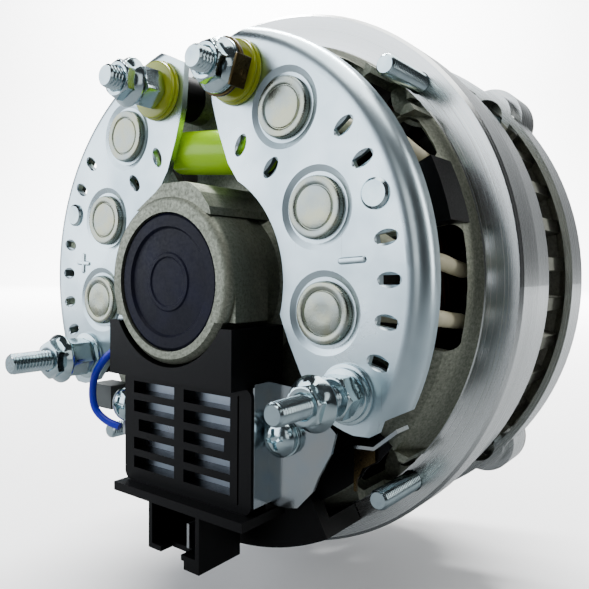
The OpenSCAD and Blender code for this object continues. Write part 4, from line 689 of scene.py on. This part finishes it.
def dimpledBlade(size, centre, turn):
    # an eight-cornered outline carried across the blade's thickness, then sunk in steps into a round dimple
    sx, sy, sz = (v / 2 for v in size)
    edge, dimple = tab["edge"], tab["dimple"]
    outline = [(-sy + edge, -sz), (sy - edge, -sz), (sy, -sz + edge), (sy, sz - edge),
               (sy - edge, sz), (-sy + edge, sz), (-sy, sz - edge), (-sy, -sz + edge)]
    rows = []
    for x, k in ((-sx, 0.96), (-sx + edge, 1), (sx - edge, 1), (sx, 0.96)):
        rows.append([(x, y * k, z * k) for y, z in outline])
    for r, sink in ((dimple, 0), (dimple * 0.8, 0.12), (dimple * 0.45, 0.3), (0.05, 0.36)):
        angles = [math.atan2(z, y) for y, z in outline]
        rows.append([(sx - sink, r * math.cos(a), r * math.sin(a)) for a in angles])
    grid = np.array(rows)
    c, s = math.cos(turn), math.sin(turn)
    x, y, z = grid[..., 0], grid[..., 1], grid[..., 2]
    return closedShell(np.stack([x * c - z * s, y, x * s + z * c], axis=-1) + np.array(centre))


studX, studZ = terminals["upperRight"]["place"]
tabTurn = math.radians(tab["turn"])
tabAt = (studX + tab["reach"] * math.cos(tabTurn), tab["along"], studZ + tab["reach"] * math.sin(tabTurn))
tabBore = terminals["upperRight"]["outer"] + boreGap
tabShells = [washerRing(tabBore, *tab["ring"], studX, studZ, tab["ringEdge"]),
             dimpledBlade(tab["blade"], tabAt, tabTurn)]
dimpledTab = makePiece("dimpledBladeTab", tabShells, finishes["blade_brown"], "housing", 30)
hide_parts("blade_tab")


# Stamped polarity marks of the two plates: place x and z, half length, half width, height and turn in degrees

marks = {"minus": (48.1, 5.6, 3.6, 0.8, 0.5, 4),
         "plusAcross": (-49.4, 4.7, 3.2, 0.7, 0.42, -3),
         "plusUpright": (-49.4, 4.7, 3.2, 0.7, 0.41, 87)}


def domeBar(x, z, halfLong, halfWide, height, turnDegrees):
    # a low pressed bar with rounded ends: its outline shrinks in steps as it rises
    turn = math.radians(turnDegrees)
    ang = ringAngles(48)
    rows = []
    steps = ((1.0, -0.12), (1.0, 0.02), (0.9, height * 0.55), (0.7, height * 0.9), (0.35, height),
             (0.02, height))
    for k, h in steps:
        straight = halfLong - halfWide if k > 0.05 else 0
        u = straight * np.sign(np.cos(ang)) + halfWide * k * np.cos(ang)
        v = halfWide * k * np.sin(ang)
        rows.append(np.stack([x + u * math.cos(turn) - v * math.sin(turn), ang * 0 + plateFace - h,
                              z + u * math.sin(turn) + v * math.cos(turn)], axis=-1))
    return closedShell(np.array(rows))


makePiece("stampedPolarityMarks", [domeBar(*mark) for mark in marks.values()],
          finishes["heat_sink_sheet"], "housing", 60)

print("fine pieces made")


# Floor, lights and camera

studio = {"floorZ": -0.0925, "floorHalf": 6.0, "curveFrom": 3.0, "curveRadius": 1.5, "wallTop": 6.0,
          "turn": 37, "seen": "#ffffff", "reflected": "#6c6e70",
          "skyColour": (0.9, 0.93, 1.0, 1.0), "sky": 0.03}


def makeFloor():
    # a pale floor that curves up into the backdrop: a straight, a quarter circle and a wall, carried along x
    start, radius = studio["curveFrom"], studio["curveRadius"]
    t = np.linspace(0, np.pi / 2, 24)
    y = np.concatenate([[-studio["floorHalf"]], start + radius * np.sin(t), [start + radius]])
    z = np.concatenate([[0.0], radius - radius * np.cos(t), [studio["wallTop"]]]) + studio["floorZ"]
    x = np.array([-studio["floorHalf"], studio["floorHalf"]])
    grid = np.stack(np.broadcast_arrays(x[None, :], y[:, None], z[:, None]), axis=-1)
    mesh = bpy.data.meshes.new("studioFloor")
    rows = np.arange(len(y) - 1)
    quads = np.stack([rows * 2, rows * 2 + 1, rows * 2 + 3, rows * 2 + 2], axis=-1)
    mesh.from_pydata(grid.reshape(-1, 3).tolist(), [], quads.tolist())
    mesh.transform(Matrix.Rotation(math.radians(studio["turn"]), 4, "Z"))
    mesh.shade_smooth()
    floor = bpy.data.objects.new("studioFloor", mesh)
    bpy.context.scene.collection.objects.link(floor)
    # the camera sees pale paper; in reflections the paper is darker, as if flagged off
    material, tree, shader = startMaterial("palePaperFloor", {"Roughness": 0.9})
    cameraRay = addNode(tree, "ShaderNodeLightPath")["Is Camera Ray"]
    paper = addNode(tree, "ShaderNodeMix", {"data_type": "RGBA"},
                    {0: cameraRay, 6: studio["reflected"], 7: studio["seen"]})[2]
    feed(shader, {"Base Color": paper})
    mesh.materials.append(material)


def softLight(name, place, target, size, watts, colour):
    # a rectangular soft light that faces its target
    light = bpy.data.lights.new(name, "AREA")
    light.shape = "RECTANGLE"
    light.size, light.size_y = size
    light.energy = watts
    light.color = srgb(colour)[:3]
    lamp = bpy.data.objects.new(name, light)
    lamp.location = place
    aim = Vector(target) - Vector(place)
    lamp.rotation_euler = aim.to_track_quat("-Z", "Y").to_euler()
    bpy.context.scene.collection.objects.link(lamp)


# place, target and size in metres, watts, colour
lights = {
    "softboxLeft": ((-0.75, -0.75, 0.30), (0, 0, 0), (1.3, 0.9), 13.0, "#f2f7ff"),
    "softboxTop": ((0.1, -0.1, 0.95), (0, 0, 0), (0.9, 0.7), 8.0, "#ffffff"),
    "softboxRight": ((0.85, 0.45, 0.35), (0, 0.03, 0), (0.3, 0.8), 4.0, "#ffffff"),
    "softboxFront": ((0.55, -0.9, 0.25), (0, 0, 0), (0.4, 0.6), 1.0, "#ffffff"),
    "backdropLight": ((-1.0, 1.2, 2.6), (-1.9, 3.4, 0.6), (2.4, 1.0), 1500.0, "#ffffff"),
}
makeFloor()
for lightName, values in lights.items():
    softLight(lightName, *values)

world = bpy.data.worlds.new("whiteStudio")
bpy.context.scene.world = world
world.use_nodes = True
feed(world.node_tree.nodes["Background"], {"Color": studio["skyColour"], "Strength": studio["sky"]})

# the camera stands where the photograph's did: place in millimetres, axes as unit vectors, roll in degrees
view = {"place": (120.0, -143.9, 0.9), "forward": (-0.60041, 0.79921, -0.02746),
        "right": (0.79962, 0.60044, -0.00826), "up": (-0.00989, 0.02692, 0.99959), "roll": 1.3,
        "lens": 38.26, "sensor": 36, "nearest": 0.005}


def makeCamera():
    axes = Matrix((view["right"], view["up"], [-v for v in view["forward"]])).transposed().to_4x4()
    axes.translation = Vector(view["place"]) * mm
    data = bpy.data.cameras.new("photoView")
    data.lens = view["lens"]
    data.sensor_width = view["sensor"]
    data.clip_start = view["nearest"]
    camera = bpy.data.objects.new("photoView", data)
    camera.matrix_world = Matrix.Rotation(math.radians(-view["roll"]), 4, "Y") @ axes
    bpy.context.scene.collection.objects.link(camera)
    bpy.context.scene.camera = camera


makeCamera()
print("studio set")
